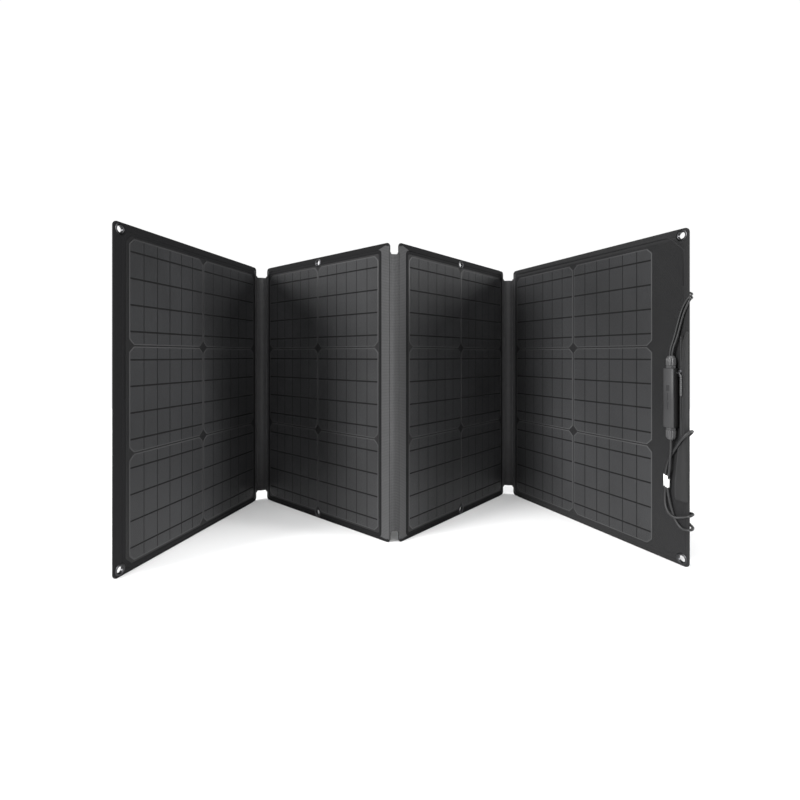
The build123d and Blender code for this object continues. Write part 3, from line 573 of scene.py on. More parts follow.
def laminate_outline(k, grow):
    """The embossed edge round the cells: clipped beside the corner eyelets, rounded elsewhere."""
    left, right = MARGINS[k]
    u0 = left - (LAMINATE_LIP_OUTER if k == 1 else LAMINATE_LIP) - grow
    u1 = left + FIELD_WIDTH + LAMINATE_LIP + grow
    if k == 4:
        u1 = WIDTH[4] - LAMINATE_EDGE_CABLES + min(grow, 0.25 * grow + 0.2)
    z0 = BORDER_BOTTOM - LAMINATE_LIP_ENDS - grow
    z1 = PANEL_HEIGHT - BORDER_TOP + LAMINATE_LIP_ENDS + grow
    small = LAMINATE_CORNER + max(grow, 0)
    large = LAMINATE_CLIPPED_CORNER + max(grow, 0)
    radii = {1: (large, small, small, large), 4: (small, large, large, small)}
    return rounded(u0, u1, z0, z1, radii.get(k, (small,) * 4))


def trough(k, u, w):
    """Lowers the front of a panel's margin beside a fold that closes face to face."""
    distance = u if k in (2, 4) else WIDTH[k] - u
    if w < 2.0 or distance > TROUGH_WIDTH:
        return w
    share = min(1.0, (TROUGH_WIDTH - distance) / TROUGH_EASE)
    return w - TROUGH_DEPTH * share * share * (3 - 2 * share)


def panel_cover(k):
    """The sewn cover of one panel: rounded edges, border, embossed ridge, and flat field."""
    panel = PANELS[k]
    moat_w = FRONT_W - MOAT_DEPTH[k]
    moat_profile = ((4.3, FRONT_W), (3.9, moat_w), (3.2, moat_w))
    rings = []
    for inset, w in EDGE_PROFILE:
        outline = rounded(inset, WIDTH[k] - inset, inset, PANEL_HEIGHT - inset,
                          (CORNER_RADIUS - min(inset, 3.0),) * 4)
        rings.append([(u, z, trough(k, u, w)) for u, z in outline])
    for grow, w in moat_profile:
        rings.append([(u, z, trough(k, u, w)) for u, z in laminate_outline(k, grow)])
    for grow, w in RIDGE_PROFILE:
        rings.append([(u, z, w) for u, z in laminate_outline(k, grow)])
    bm = bmesh.new()
    loops = [[bm.verts.new(panel.at(*point)) for point in ring] for ring in rings]
    back_band = skin(bm, loops)[:len(loops[0])]
    for face in [bm.faces.new(loops[0]), *back_band]:
        face.material_index = REAR
    bm.faces.new(loops[-1]).material_index = FIELD
    piece = new_piece(bm, f"panel_cover_{k}", f"panel_{k}", BORDER_CLOTH[k], REAR_CLOTH,
                      FIELD_FILM, HINGE_CLOTH)
    cut_away(piece, eyelet_cutter(k))
    flatten(piece.data, panel)
    map_panel(piece.data, panel)
    rib_margins(k, piece.data)
    return piece


def flatten(mesh, panel):
    """Keeps the wide flat faces flat where smooth shading meets the rounded edge."""
    for polygon in mesh.polygons:
        if abs(polygon.normal.dot(panel.out)) > 0.9995:
            polygon.use_smooth = False


def rib_margins(k, mesh):
    """The hinge's ribbed fabric runs on over the margins beside it."""
    panel = PANELS[k]
    lip = LAMINATE_LIP + 3.0
    left = MARGINS[k][0] - lip
    right = MARGINS[k][0] + FIELD_WIDTH + lip
    for polygon in mesh.polygons:
        u = (polygon.center - panel.origin).dot(panel.along) / mm(1)
        z = polygon.center.z / mm(1)
        inner = 6.0 < z < PANEL_HEIGHT - 6.0
        beside = (k > 1 and u < left) or (k < 4 and u > right)
        facing = polygon.normal.dot(panel.out) > 0.2
        if polygon.material_index == BORDER and beside and inner and facing:
            polygon.material_index = MARGIN


def eyelet_points(k):
    across = {1: GROMMET_INSET, 2: MARGINS[2][0] + FIELD_WIDTH / 2,
              3: MARGINS[3][0] + FIELD_WIDTH / 2, 4: WIDTH[4] - GROMMET_INSET}[k]
    return [(across, GROMMET_INSET), (across, PANEL_HEIGHT - GROMMET_INSET)]


def eyelet_ring(k, u, z, radius, w):
    return [PANELS[k].at(u + radius * cos(a), z + radius * sin(a), w)
            for a in circle(EYELET_STEPS)]


def eyelet_cutter(k):
    bm = bmesh.new()
    for u, z in eyelet_points(k):
        loft(bm, [eyelet_ring(k, u, z, GROMMET_BARREL, w) for w in (-4.0, 8.0)])
    return mesh_from(bm, "cutter", smooth=False)


def cut_away(piece, cutter_mesh):
    """Cuts the holes for the eyelets and keeps the result as the piece's own mesh."""
    cutter = linked("cutter", cutter_mesh)
    modifier = piece.modifiers.new("holes", "BOOLEAN")
    modifier.object = cutter
    modifier.solver = "EXACT"
    modifier.use_self = True
    graph = bpy.context.evaluated_depsgraph_get()
    cut = bpy.data.meshes.new_from_object(piece.evaluated_get(graph))
    piece.modifiers.remove(modifier)
    piece.data = cut
    bpy.data.objects.remove(cutter)


def map_panel(mesh, panel):
    """Texture axes in metres: along the panel and up."""
    layer = mesh.uv_layers.get("panel") or mesh.uv_layers.new(name="panel")
    for loop in mesh.loops:
        point = mesh.vertices[loop.vertex_index].co
        layer.data[loop.index].uv = ((point - panel.origin).dot(panel.along), point.z)


def cell_outline(shrink):
    """A square cell clipped by its ingot's circle, about its own centre."""
    half = CELL_SIDE / 2 - shrink
    radius = CELL_DIAMETER / 2 - shrink
    first = atan2((radius**2 - half**2) ** 0.5, half)
    points = []
    for quarter in range(4):
        for i in range(7):
            angle = quarter * pi / 2 + first + (pi / 2 - 2 * first) * i / 6
            points.append((radius * cos(angle), radius * sin(angle)))
    return points


def cell_faces(k):
    """The six cells of a panel, each slightly raised under the film, with its soft rim in a lighter
    film as painted highlight.
    """
    panel = PANELS[k]
    pitch = CELL_SIDE + CELL_GAP
    bm = bmesh.new()
    panel_map = bm.loops.layers.uv.new("panel")
    cell_map = bm.loops.layers.uv.new("cell")
    for column, row in product(range(CELL_COLUMNS), range(CELL_ROWS)):
        u = MARGINS[k][0] + CELL_SIDE / 2 + column * pitch
        z = BORDER_BOTTOM + CELL_SIDE / 2 + row * pitch
        loops = [[bm.verts.new(panel.at(u + x, z + y, w)) for x, y in cell_outline(shrink)]
                 for shrink, w in CELL_PROFILE]
        # material 1 is the lighter rim film, a painted highlight on the bevel
        rim = skin(bm, loops, material=1)
        count = len(loops[0])
        # the rim's narrow middle band stays unmapped, which keeps the emboss off it
        mapped = rim[:count] + rim[-count:] + [bm.faces.new(loops[-1])]
        for loop in (loop for face in mapped for loop in face.loops):
            away = loop.vert.co - panel.at(u, z, 0)
            x = away.dot(panel.along)
            loop[panel_map].uv = (x + mm(u), loop.vert.co.z)
            loop[cell_map].uv = (x / mm(CELL_SIDE) + 0.5, away.z / mm(CELL_SIDE) + 0.5)
    new_piece(bm, f"cell_faces_{k}", f"panel_{k}", CELL_FILM, RIM_FILM_PAINTED_HIGHLIGHT, smooth=False)


def eyelets(k):
    """Rolled metal eyelets with their washers behind."""
    bm = bmesh.new()
    for u, z in eyelet_points(k):
        loops = [[bm.verts.new(point) for point in eyelet_ring(k, u, z, radius, w)]
                 for radius, w in EYELET_PROFILE]
        skin(bm, loops + loops[:1])
    piece = new_piece(bm, f"eyelets_{k}", f"panel_{k}", EYELET)
    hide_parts(f"grommets_{k}")


for number in PANELS:
    cover = panel_cover(number)
    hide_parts(f"rear_cover_{number}", f"front_border_{number}", f"front_laminate_{number}")
    cell_faces(number)
    eyelets(number)

# -------- board edges under the cloth
BEAD_PROFILE = (  # across the bead, and over the cloth
    (-1.7, -0.3), (-1.7, 0.02), (-0.8, 0.32), (0.0, 0.42), (0.8, 0.32), (1.7, 0.02), (1.7, -0.3),
)
BEAD_BEND = 10.0
BEAD_BEND_STEPS = 4
BEAD_END = 24.0


def board_ridge(name, k, side, cap, cut, drop, upward=True):
    """The stiff board's edge showing through the border cloth round one free corner.

    side and cap are its distances from the free edge and from the top or bottom edge, cut
    the leg of its clipped corner and drop how far it runs along the free edge.
    """
    panel = PANELS[k]
    top = PANEL_HEIGHT - cap
    ease = BEAD_BEND * tan(pi / 8)
    bends = ((side + cut + ease, top - BEAD_BEND, pi / 2),
             (side + BEAD_BEND, top - cut - ease, 3 * pi / 4))
    path = [(WIDTH[k] - BEAD_END, top, pi / 2)]
    for away, z, start in bends:
        for i in range(BEAD_BEND_STEPS + 1):
            angle = start + i * pi / 4 / BEAD_BEND_STEPS
            path.append((away + BEAD_BEND * cos(angle), z + BEAD_BEND * sin(angle), angle))
    path.append((side, top - drop, pi))
    fading = (0, len(path) - 1) if k == 4 else (0,)
    rings = []
    for number, (away, z, angle) in enumerate(path):
        swell = 0.1 if number in fading else 1.0
        ring = []
        for offset, height in BEAD_PROFILE:
            u = away + offset * cos(angle)
            rise = z + offset * sin(angle)
            ring.append(panel.at(u if k == 1 else WIDTH[k] - u,
                                 rise if upward else PANEL_HEIGHT - rise,
                                 FRONT_W + height * swell))
        rings.append(ring)
    bm = bmesh.new()
    loft(bm, rings)
    map_panel(new_piece(bm, name, f"panel_{k}", BORDER_CLOTH[k]).data, panel)


for name, cap, upward in (("board_ridge_1_top", 10.5, True), ("board_ridge_1_bottom", 7.0, False)):
    board_ridge(name, 1, side=18.2, cap=cap, cut=14.0, drop=PANEL_HEIGHT / 2 - cap, upward=upward)
board_ridge("board_ridge_4_top", 4, side=7.0, cap=8.5, cut=25.0, drop=78.0)


# -------- turned and rounded forms
def turned(bm, axis, profile, steps=48, ribs=0, rib_depth=0.0):
    """A turned form about an axis frame; profile is rows of distance, radius, ribbed share."""
    rings = []
    for distance, radius, ribbed_share in profile:
        ring = []
        for angle in circle(steps):
            wave = max(-1.0, min(1.0, 2.0 * cos(ribs * angle))) if ribs else 0.0
            r = radius + ribbed_share * rib_depth * wave
            ring.append(axis(distance, r * cos(angle), r * sin(angle)))
        rings.append(ring)
    loft(bm, rings)


def rounded_section(x0, x1, y0, y1, radius, steps=5):
    """A rounded rectangle in the strip's level plane, as (x, y) points."""
    points = []
    centres = [(x1 - radius, y1 - radius), (x0 + radius, y1 - radius),
               (x0 + radius, y0 + radius), (x1 - radius, y0 + radius)]
    for quarter, (cx, cy) in enumerate(centres):
        for i in range(steps + 1):
            angle = (quarter + i / steps) * pi / 2
            points.append((cx + radius * cos(angle), cy + radius * sin(angle)))
    return points


def prism(bm, section, heights, material=0):
    """Sweeps a section of the strip's level plane straight up through the given heights."""
    loft(bm, [[strip(x, y, z) for x, y in section] for z in heights], material=material)


def rod_ring(x, y, z, radii, steps):
    """A level oval ring on the cable strip, its radii inwards and outwards."""
    return [strip(x + radii[0] * cos(a), y + radii[1] * sin(a), z) for a in circle(steps)]


# -------- fabric hinges
CLOTH = 0.7
VALLEY_BULGE = 4.6
RIDGE_BULGE = 2.2
STRIP_STEPS = 14
NOTCH_CORNER = 3.5
BLEND_REACH = 3.0
TUCKS = (6.0, 3.5, 1.4, 0.4)   # how far the fabric's rows lie inside the panel's cover
HINGE_AXES = {1: ("fold_1_outer", "fold_1_inner"), 2: ("fold_2_left", "fold_2_right"),
              3: ("fold_3_inner", "fold_3_outer")}


def hinge_rows(k, side):
    """Rows across the fabric: a place at floor level, its normal, its bulge and its distance."""
    panel = PANELS[k + side]
    sign = 1 - 2 * side
    near, far = (plan(HINGE_AXES[k][end]) for end in (side, 1 - side))
    across = (far - near).normalized()
    out = Vector((across.y, -across.x, 0)) * sign
    span = (far - near).length / mm(1)
    bulge = RIDGE_BULGE if k == 2 else VALLEY_BULGE
    edge_u = 0.0 if side else WIDTH[k]
    rows = []
    for tuck in TUCKS:
        inside = panel.at(edge_u - sign * tuck, 0, PANEL_THICKNESS / 2 - 0.35)
        rows.append((inside, panel.out, 0.0, -tuck))
    for i in range(STRIP_STEPS + 1):
        share = 0.5 * i / STRIP_STEPS
        turn = min(1.0, i / 2)
        normal = (panel.out * (1 - turn) + out * (0.6 + turn)).normalized()
        rise = bulge * sin(pi * share) ** 1.3
        rows.append((near + across * mm(span * share), normal, rise, span * share))
    lead_in = (panel.along * sign + across).normalized() * mm(BLEND_REACH)
    return rows, near - lead_in, near + lead_in


def hinge_half(k, side):
    """Half of a fabric hinge, from inside one panel's cover to the middle of the strip."""
    rows, start, end = hinge_rows(k, side)
    top = PANEL_HEIGHT - NOTCH_DEPTH
    heights = [NOTCH_DEPTH, NOTCH_DEPTH + 1.0, PANEL_HEIGHT / 3, PANEL_HEIGHT / 2,
               PANEL_HEIGHT * 2 / 3, top - 1.0, top]
    bm = bmesh.new()
    uv = bm.loops.layers.uv.new("panel")
    along = {}
    loops = []
    for index, height in enumerate(heights):
        notch = -1 if index < 2 else 1 if index > len(heights) - 3 else 0
        thin = 0.55 if index in (0, len(heights) - 1) else 1.0
        front, back = [], []
        for place, normal, rise, distance in rows:
            reach = min(max(NOTCH_CORNER - max(distance, 0.0), 0.0), NOTCH_CORNER)
            lift = NOTCH_CORNER - (NOTCH_CORNER**2 - reach**2) ** 0.5
            z = Vector((0, 0, mm(height + notch * lift)))
            front.append(bm.verts.new(place + normal * mm((CLOTH + rise) * thin) + z))
            back.append(bm.verts.new(place - normal * mm(CLOTH * thin) + z))
            along[front[-1]] = along[back[-1]] = distance
        loops.append(front + back[::-1])
    count = len(loops[0])
    half = count // 2
    for index, face in enumerate(skin(bm, loops)):
        face.material_index = 0 if index % count < half else 1
    for loop in (loops[0], loops[-1]):
        for i in range(half - 1):
            bm.faces.new((loop[i], loop[i + 1], loop[count - 2 - i], loop[count - 1 - i]))
    for corner_loop in (loop for face in bm.faces for loop in face.loops):
        vertex = corner_loop.vert
        corner_loop[uv].uv = (mm(along[vertex]), vertex.co.z)
    name = f"hinge_fabric_{k}_{('left', 'right')[side]}"
    piece = linked(name, mesh_from(bm, name))
    piece.data.materials.append(HINGE_CLOTH)
    piece.data.materials.append(REAR_CLOTH)
    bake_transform(piece)
    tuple(start)
    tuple(end)
    return piece


for number in FOLDS:
    left_half = hinge_half(number, 0)
    hinge_half(number, 1)
    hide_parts(f"hinge_web_{number}", f"hinge_face_{number}")


# -------- in-line module
MODULE_X = 21.8
MODULE_Y = 7.75
MODULE_WIDTH = 16.3
MODULE_DEPTH = 15.5
MODULE_BOTTOM = 208.0
MODULE_HEIGHT = 90.0
FACE_PLATE = 3.6
MODULE_SEAM = 0.25
MODULE_MARKS = ((60.0, 9.0, 5.0), (47.0, 11.0, 2.0), (33.0, 11.0, 2.0))   # rise, height, width
# distance from the module's end, radius, and ribbed share
COLLAR_PROFILE = ((-0.5, 6.2, 0), (0.0, 6.7, 0), (0.5, 6.93, 0), (3.4, 6.93, 0), (3.9, 6.5, 0))
NUT_PROFILE = ((4.0, 6.0, 0), (4.3, 6.4, 0.6), (4.9, 6.5, 1), (14.2, 6.4, 1), (15.2, 6.1, 0.5),
               (16.2, 5.7, 0), (17.6, 4.9, 0), (18.6, 3.9, 0), (19.0, 3.2, 0), (18.6, 2.6, 0),
               (14.0, 2.5, 0))


def module_case():
    """A face in the case's plastic and a body darkened as painted shade, with a fine seam between
    them, and generic marks.
    """
    x0, x1 = MODULE_X - MODULE_WIDTH / 2, MODULE_X + MODULE_WIDTH / 2
    bottom, top = MODULE_BOTTOM, MODULE_BOTTOM + MODULE_HEIGHT
    middle = MODULE_DEPTH - FACE_PLATE
    ends = ((bottom, 1.0), (bottom + 0.4, 0.4), (bottom + 1.2, 0.0),
            (top - 1.2, 0.0), (top - 0.4, 0.4), (top, 1.0))
    bm = bmesh.new()
    # the rear shell and the core take material 1, the darker plastic that is painted shade
    for low, high, rear in ((0.0, middle - MODULE_SEAM / 2, True),
                            (middle + MODULE_SEAM / 2, MODULE_DEPTH, False)):
        rings = []
        for z, inset in ends:
            section = half_section(x0 + inset, x1 - inset, low, high, inset, rear)
            rings.append([strip(x, y, z) for x, y in section])
        loft(bm, rings, material=1 if rear else 0)
    core = rounded_section(x0 + 0.5, x1 - 0.5, 0.5, MODULE_DEPTH - 0.5, 2.0)
    prism(bm, core, (bottom + 0.7, top - 0.7), material=1)
    case = new_piece(bm, "module_case", "panel_4", CASE, CASE_PAINTED_SHADE)
    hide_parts("module_front_shell", "module_rear_shell")

    bm = bmesh.new()
    face = MODULE_DEPTH + 0.02
    for rise, height, width in MODULE_MARKS:
        rings = []
        for bevel, y in ((0.0, face - 0.2), (0.0, face), (0.3, face + 0.12)):
            dx, dz = width / 2 - bevel, height / 2 - bevel
            rings.append([strip(MODULE_X + sx * dx, y, bottom + rise + sz * dz)
                          for sx, sz in ((-1, -1), (1, -1), (1, 1), (-1, 1))])
        loft(bm, rings)
    new_piece(bm, "module_marks", "panel_4", PRINT, smooth=False)


def half_section(x0, x1, low, high, inset, rear):
    """One shell's outline: rounded on its outer corners, square at the seam."""
    radius = 2.2
    steps = 6
    outer = low + inset if rear else high - inset
    seam = high if rear else low
    sign = 1 if rear else -1
    bend = []
    for i in range(steps + 1):
        angle = pi / 2 * i / steps
        bend.append((radius * (1 - cos(angle)), outer + sign * radius * (1 - sin(angle))))
    left = [(x0 + dx, y) for dx, y in bend]
    right = [(x1 - dx, y) for dx, y in reversed(bend)]
    return [(x0, seam), *left, *right, (x1, seam)]


def cable_glands():
    """A hexagonal collar and a ribbed dome nut at each end of the module."""
    bodies, nuts = bmesh.new(), bmesh.new()
    for start, sign in ((MODULE_BOTTOM + MODULE_HEIGHT, 1), (MODULE_BOTTOM, -1)):
        def axis(distance, x, y, start=start, sign=sign):
            return strip(MODULE_X + x, MODULE_Y + y, start + sign * distance)

        turned(bodies, axis, COLLAR_PROFILE, steps=6)
        turned(nuts, axis, NUT_PROFILE, steps=96, ribs=12, rib_depth=0.42)
    body = new_piece(bodies, "gland_collars", "panel_4", GLAND, smooth=False)
    nut = new_piece(nuts, "gland_nuts_ribbed", "panel_4", GLAND)
    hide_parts("gland_bodies")
    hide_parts("gland_nuts")


module_case()
cable_glands()


# -------- cable pocket
POCKET_HEM = [  # height, how far the hem reaches inwards, how far it stands off the panel
    (97.0, 18.6, 2.6), (108.0, 19.4, 3.2), (120.2, 19.4, 3.8), (136.0, 17.6, 4.2),
    (151.7, 15.9, 4.4), (164.0, 14.9, 4.4), (174.8, 13.7, 4.4), (186.0, 10.6, 5.2),
    (198.4, 7.9, 6.0), (224.0, 6.3, 6.6), (250.9, 5.7, 6.8), (276.0, 6.0, 6.8),
    (301.6, 6.6, 6.8), (328.5, 6.0, 6.4), (338.0, 5.2, 5.6), (346.0, 4.2, 4.4), (353.0, 2.6, 2.6),
]
POCKET_FOOT = 0.6
POCKET_CLOTH = 0.8


def between(rows, height):
    """Linear interpolation down a table whose first column rises."""
    for before, after in zip(rows, rows[1:]):
        if height <= after[0]:
            share = (height - before[0]) / (after[0] - before[0])
            return [a + (b - a) * max(share, 0.0) for a, b in zip(before[1:], after[1:])]
    return list(rows[-1][1:])


def pocket_line(height):
    """The pocket's cross-section as a soft arch from the panel's edge to the hem."""
    reach, rise = between(POCKET_HEM, height)
    slack = 0.35 * noise.noise(Vector((height * 0.045, 1.7, 0)))
    crest = rise * 1.06 + slack
    line = []
    for i in range(15):
        share = i / 14
        x = POCKET_FOOT + (reach - POCKET_FOOT) * share
        arch = sin(pi / 2 * min(share / 0.55, 1.0)) ** 0.7
        droop = (crest - rise) * max(0.0, (share - 0.55) / 0.45)
        sag = 0.25 * noise.noise(Vector((height * 0.08, share * 3.0, 4.2)))
        line.append((x, max(0.3, crest * arch - droop + sag * arch)))
    return line


def cable_pocket():
    """The fabric pocket: a bulging flap with a turned hem, its opening towards the module."""
    bottom, top = POCKET_HEM[0][0], POCKET_HEM[-1][0]
    steps = 96
    bm = bmesh.new()
    uv = bm.loops.layers.uv.new("panel")
    where = {}
    loops = []
    for i in range(steps + 1):
        height = bottom + (top - bottom) * i / steps
        outer = pocket_line(height)
        x, y = outer[-1]
        lip = [(x + 0.55, y - 0.25), (x + 0.6, y - 0.9), (x, y - 1.3)]
        inner = [(x, y - POCKET_CLOTH) for x, y in outer[-2::-1]]
        loop = []
        for index, (x, y) in enumerate(outer + lip + inner):
            vertex = bm.verts.new(strip(x, max(y, 0.05), height))
            where[vertex] = (mm(index * 1.1), mm(height))
            loop.append(vertex)
        loops.append(loop)
    skin(bm, loops)
    for loop in (loops[0], loops[-1]):
        bm.faces.new(loop)
    for corner_loop in (loop for face in bm.faces for loop in face.loops):
        corner_loop[uv].uv = where[corner_loop.vert]
    piece = new_piece(bm, "pocket_flap", "panel_4", POCKET_FABRIC)
    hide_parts("cable_pocket")


def pocket_stitches():
    """A row of stitches along the hem."""
    bottom, top = POCKET_HEM[0][0], POCKET_HEM[-1][0]
    pitch = 3.2
    bm = bmesh.new()
    for i in range(int((top - bottom - 12) / pitch)):
        height = bottom + 6 + i * pitch
        x, y = pocket_line(height)[-2]
        rings = []
        for z, drop in ((height - 1.0, 0.25), (height, 0.0), (height + 1.0, 0.25)):
            rings.append(rod_ring(x, y + 0.1 - drop, z, (0.3, 0.22), 6))
        loft(bm, rings)
    new_piece(bm, "pocket_stitches", "panel_4", THREAD)


ZIP_BOTTOM = 196.0
ZIP_TOP = 346.0
ZIP_X = 8.8
ZIP_Y = 5.0


def zip_fastener():
    """Tape and interlocking coil of the pocket's zip."""
    bm = bmesh.new()
    tape = [(5.6, 4.75), (9.0, 4.8), (9.0, 5.2), (5.6, 5.25)]
    prism(bm, tape, (ZIP_BOTTOM - 2, ZIP_TOP + 2))
    new_piece(bm, "zip_tape", "panel_4", BLACK_TAPE, smooth=False)
    bm = bmesh.new()
    pitch = 1.5
    for i in range(int((ZIP_TOP - ZIP_BOTTOM) / pitch)):
        z = ZIP_BOTTOM + i * pitch
        rings = []
        for x, r in ((-0.85, 0.3), (-0.6, 0.55), (0.5, 0.6), (0.8, 0.35)):
            rings.append([strip(ZIP_X + x, ZIP_Y + 1.25 * r * cos(a), z + r * sin(a))
                          for a in circle(8)])
        loft(bm, rings)
    coil = new_piece(bm, "zip_teeth", "panel_4", ZIP_NYLON)
    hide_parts("zip_coil")


SLIDER_Z = 291.0
PULL_DRIFT = 3.0
PULL_Y = 9.9
PULL_LENGTH = 36.0
PULL_HEAD = 6.0
BEAD_PITCH = 3.0


def zip_slider_and_pull():
    """A cast slider with its bail, and a moulded pull with a row of beads."""
    bm = bmesh.new()
    for low, high in ((2.7, 4.0), (6.0, 7.3)):
        rings = []
        for z, half in ((-5.0, 1.5), (-4.6, 1.9), (-1.0, 2.1), (2.5, 2.3), (4.6, 2.0), (5.0, 1.6)):
            section = rounded_section(ZIP_X - half, ZIP_X + half, low, high, 0.45, steps=3)
            rings.append([strip(x, y, SLIDER_Z + z) for x, y in section])
        loft(bm, rings)
    post = rounded_section(ZIP_X - 0.4, ZIP_X + 0.4, 3.5, 6.5, 0.3, steps=3)
    prism(bm, post, (SLIDER_Z + 3.2, SLIDER_Z + 4.6))
    for side in (-2.05, 2.05):
        post = rounded_section(ZIP_X + side - 0.35, ZIP_X + side + 0.35, 7.0, PULL_Y + 0.8, 0.3,
                               steps=3)
        prism(bm, post, [SLIDER_Z + z for z in (-1.3, -1.0, 1.0, 1.3)])
    loft(bm, [[strip(ZIP_X + x, PULL_Y + 0.5 * cos(a), SLIDER_Z + 0.5 * sin(a)) for a in circle(12)]
              for x in (-2.3, 2.3)])
    slider = new_piece(bm, "slider_body", "zip_slider", DARK_METAL)
    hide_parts("zip_slider")

    bm = bmesh.new()
    steps = 72
    rings = []
    for i in range(steps + 1):
        along = PULL_LENGTH * i / steps
        beaded = PULL_HEAD < along < PULL_LENGTH - BEAD_PITCH
        bead = 0.26 * sin(2 * pi * along / BEAD_PITCH) if beaded else 0.0
        end = min(1.0, (along + 0.25) / 1.6, (PULL_LENGTH - along + 0.25) / 1.8) ** 0.5
        swell = 0.35 * min(1.0, max(0.0, (along - 2.0) / 5.0))
        x = ZIP_X - PULL_DRIFT * min(1.0, max(0.0, along - 0.5) / 5.5) ** 0.7
        radii = ((1.0 + swell + bead) * end, (0.75 + swell + bead * 0.9) * end)
        rings.append(rod_ring(x, PULL_Y, SLIDER_Z + 1.2 - along, radii, 16))
    loft(bm, rings)
    pull = new_piece(bm, "pull_beads", "zip_pull", PULL_RUBBER)
    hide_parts("zip_pull")


cable_pocket()
pocket_stitches()
zip_fastener()
zip_slider_and_pull()


# -------- tag, tie and plug
TAG_LOW = 115.0
TAG_HIGH = 133.0
TAG_LOOP = [(25.5, 4.6), (25.7, 7.2), (27.5, 8.7), (30.0, 8.2), (33.0, 6.0), (35.6, 4.6),
            (36.2, 2.4), (34.8, 0.6), (31.4, 0.5), (27.6, 2.4)]


def lead_tag():
    """A folded label film round both runs of the lead, a little askew."""
    curve = []
    count = len(TAG_LOOP)
    for i in range(count):
        before, here = Vector(TAG_LOOP[i - 1]), Vector(TAG_LOOP[i])
        after, later = Vector(TAG_LOOP[(i + 1) % count]), Vector(TAG_LOOP[(i + 2) % count])
        for n in range(4):
            t = n / 4
            curve.append(0.5 * (2 * here + (after - before) * t
                                + (2 * before - 5 * here + 4 * after - later) * t**2
                                + (3 * here - 3 * after + later - before) * t**3))
    middle = Vector((30.2, 4.6))
    bm = bmesh.new()
    rings = []
    for z, inwards in ((TAG_LOW, 0.0), (TAG_HIGH, 0.0), (TAG_HIGH, 0.25), (TAG_LOW, 0.25)):
        ring = []
        for point in curve:
            inner = point + (middle - point).normalized() * inwards
            skew = (inner.x - middle.x) * 0.1
            ring.append(strip(inner.x, inner.y, z + skew))
        rings.append(ring)
    loft(bm, rings + [rings[0]], caps=False)
    bmesh.ops.remove_doubles(bm, verts=bm.verts, dist=1e-6)
    tag = new_piece(bm, "tag_film", "panel_4", PAPER)
    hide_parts("lead_tag")
    return tag


TIE_ANGLE = 60.0
COIL_CENTRE = (70.0, -54.0)
COIL_RADIUS = 23.0
COIL_MIDDLE = 7.7


def coil_tie():
    """A soft strap wound round the coiled lead, its end lapped over."""
    angle = radians(TIE_ANGLE)
    outwards = Vector((cos(angle), sin(angle)))
    sideways = Vector((-sin(angle), cos(angle)))
    centre = Vector(COIL_CENTRE) + outwards * COIL_RADIUS
    bm = bmesh.new()
    rings = []
    steps = 44
    for i in range(steps + 6):
        turn = 2 * pi * i / steps
        reach = 7.0 + 0.5 * max(0, i - steps + 5) / 5
        squared = (abs(cos(turn)) ** 4 + abs(sin(turn)) ** 4) ** -0.25
        ring = []
        for width, thick in ((-4, 0), (4, 0), (4, 0.8), (-4, 0.8)):
            r = min(reach * squared, 8.3) + thick - 0.4
            place = centre + outwards * (r * cos(turn)) + sideways * width
            ring.append(strip(place.x, place.y, max(COIL_MIDDLE + r * sin(turn), 0.35)))
        rings.append(ring)
    loft(bm, rings)
    tie = new_piece(bm, "tie_strap", "panel_4", STRAP)
    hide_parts("coil_tie")
    return tie


TAIL = [(82.0, -82.2, 3.4), (95.0, -81.0, 3.6), (106.0, -77.9, 5.5), (115.0, -74.8, 5.5)]


def plug():
    """A barrel plug: ribbed boot, grip with finger grooves, and plated barrel."""
    start = strip(*TAIL[-1])
    forwards = (start - strip(*TAIL[-2])).normalized()
    sideways = forwards.cross(Vector((0, 0, 1))).normalized()
    upwards = sideways.cross(forwards)

    def axis(distance, x, y):
        return start + forwards * mm(distance) + sideways * mm(x) + upwards * mm(y)

    boot = [(0.0, 2.1, 0), (0.2, 2.7, 0)]
    for i in range(5):
        base = 1.2 + i * 2.9
        radius = 3.0 + i * 0.26
        boot += [(base, radius, 0), (base + 1.5, radius + 0.1, 0), (base + 1.7, radius - 0.7, 0),
                 (base + 2.6, radius - 0.6, 0)]
    grip = [(15.8, 3.9, 0), (16.0, 4.9, 0), (16.7, 5.4, 0)]
    for i in range(5):
        base = 19.0 + i * 3.0
        grip += [(base, 5.45, 0), (base + 0.5, 4.95, 0), (base + 1.3, 4.95, 0),
                 (base + 1.8, 5.45, 0)]
    grip += [(38.4, 5.45, 0), (39.6, 5.2, 0), (40.0, 4.6, 0)]
    bm = bmesh.new()
    turned(bm, axis, boot + grip)
    handle = new_piece(bm, "plug_handle", "panel_4", GRIP)
    bm = bmesh.new()
    barrel = [(39.5, 3.9, 0), (49.4, 3.95, 0), (50.0, 3.7, 0), (50.0, 3.0, 0), (49.6, 2.9, 0),
              (40.5, 2.9, 0)]
    turned(bm, axis, barrel)
    sleeve = new_piece(bm, "plug_sleeve", "panel_4", NICKEL)
    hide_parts("plug_grip")
    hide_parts("plug_barrel")
    return [handle, sleeve, frame["nodes"]["plug_pin"]]


cord_pieces = [lead_tag(), coil_tie(), *plug()]

# -------- leads
# The leads are NURBS splines through the routes of the CAD's tubes, with its output lead wound
# up behind the panel. Rows are (x, y, z) on the cable strip.
CABLE = 4.0
WIRE = 3.0
WIRE_SIDE = 1.7

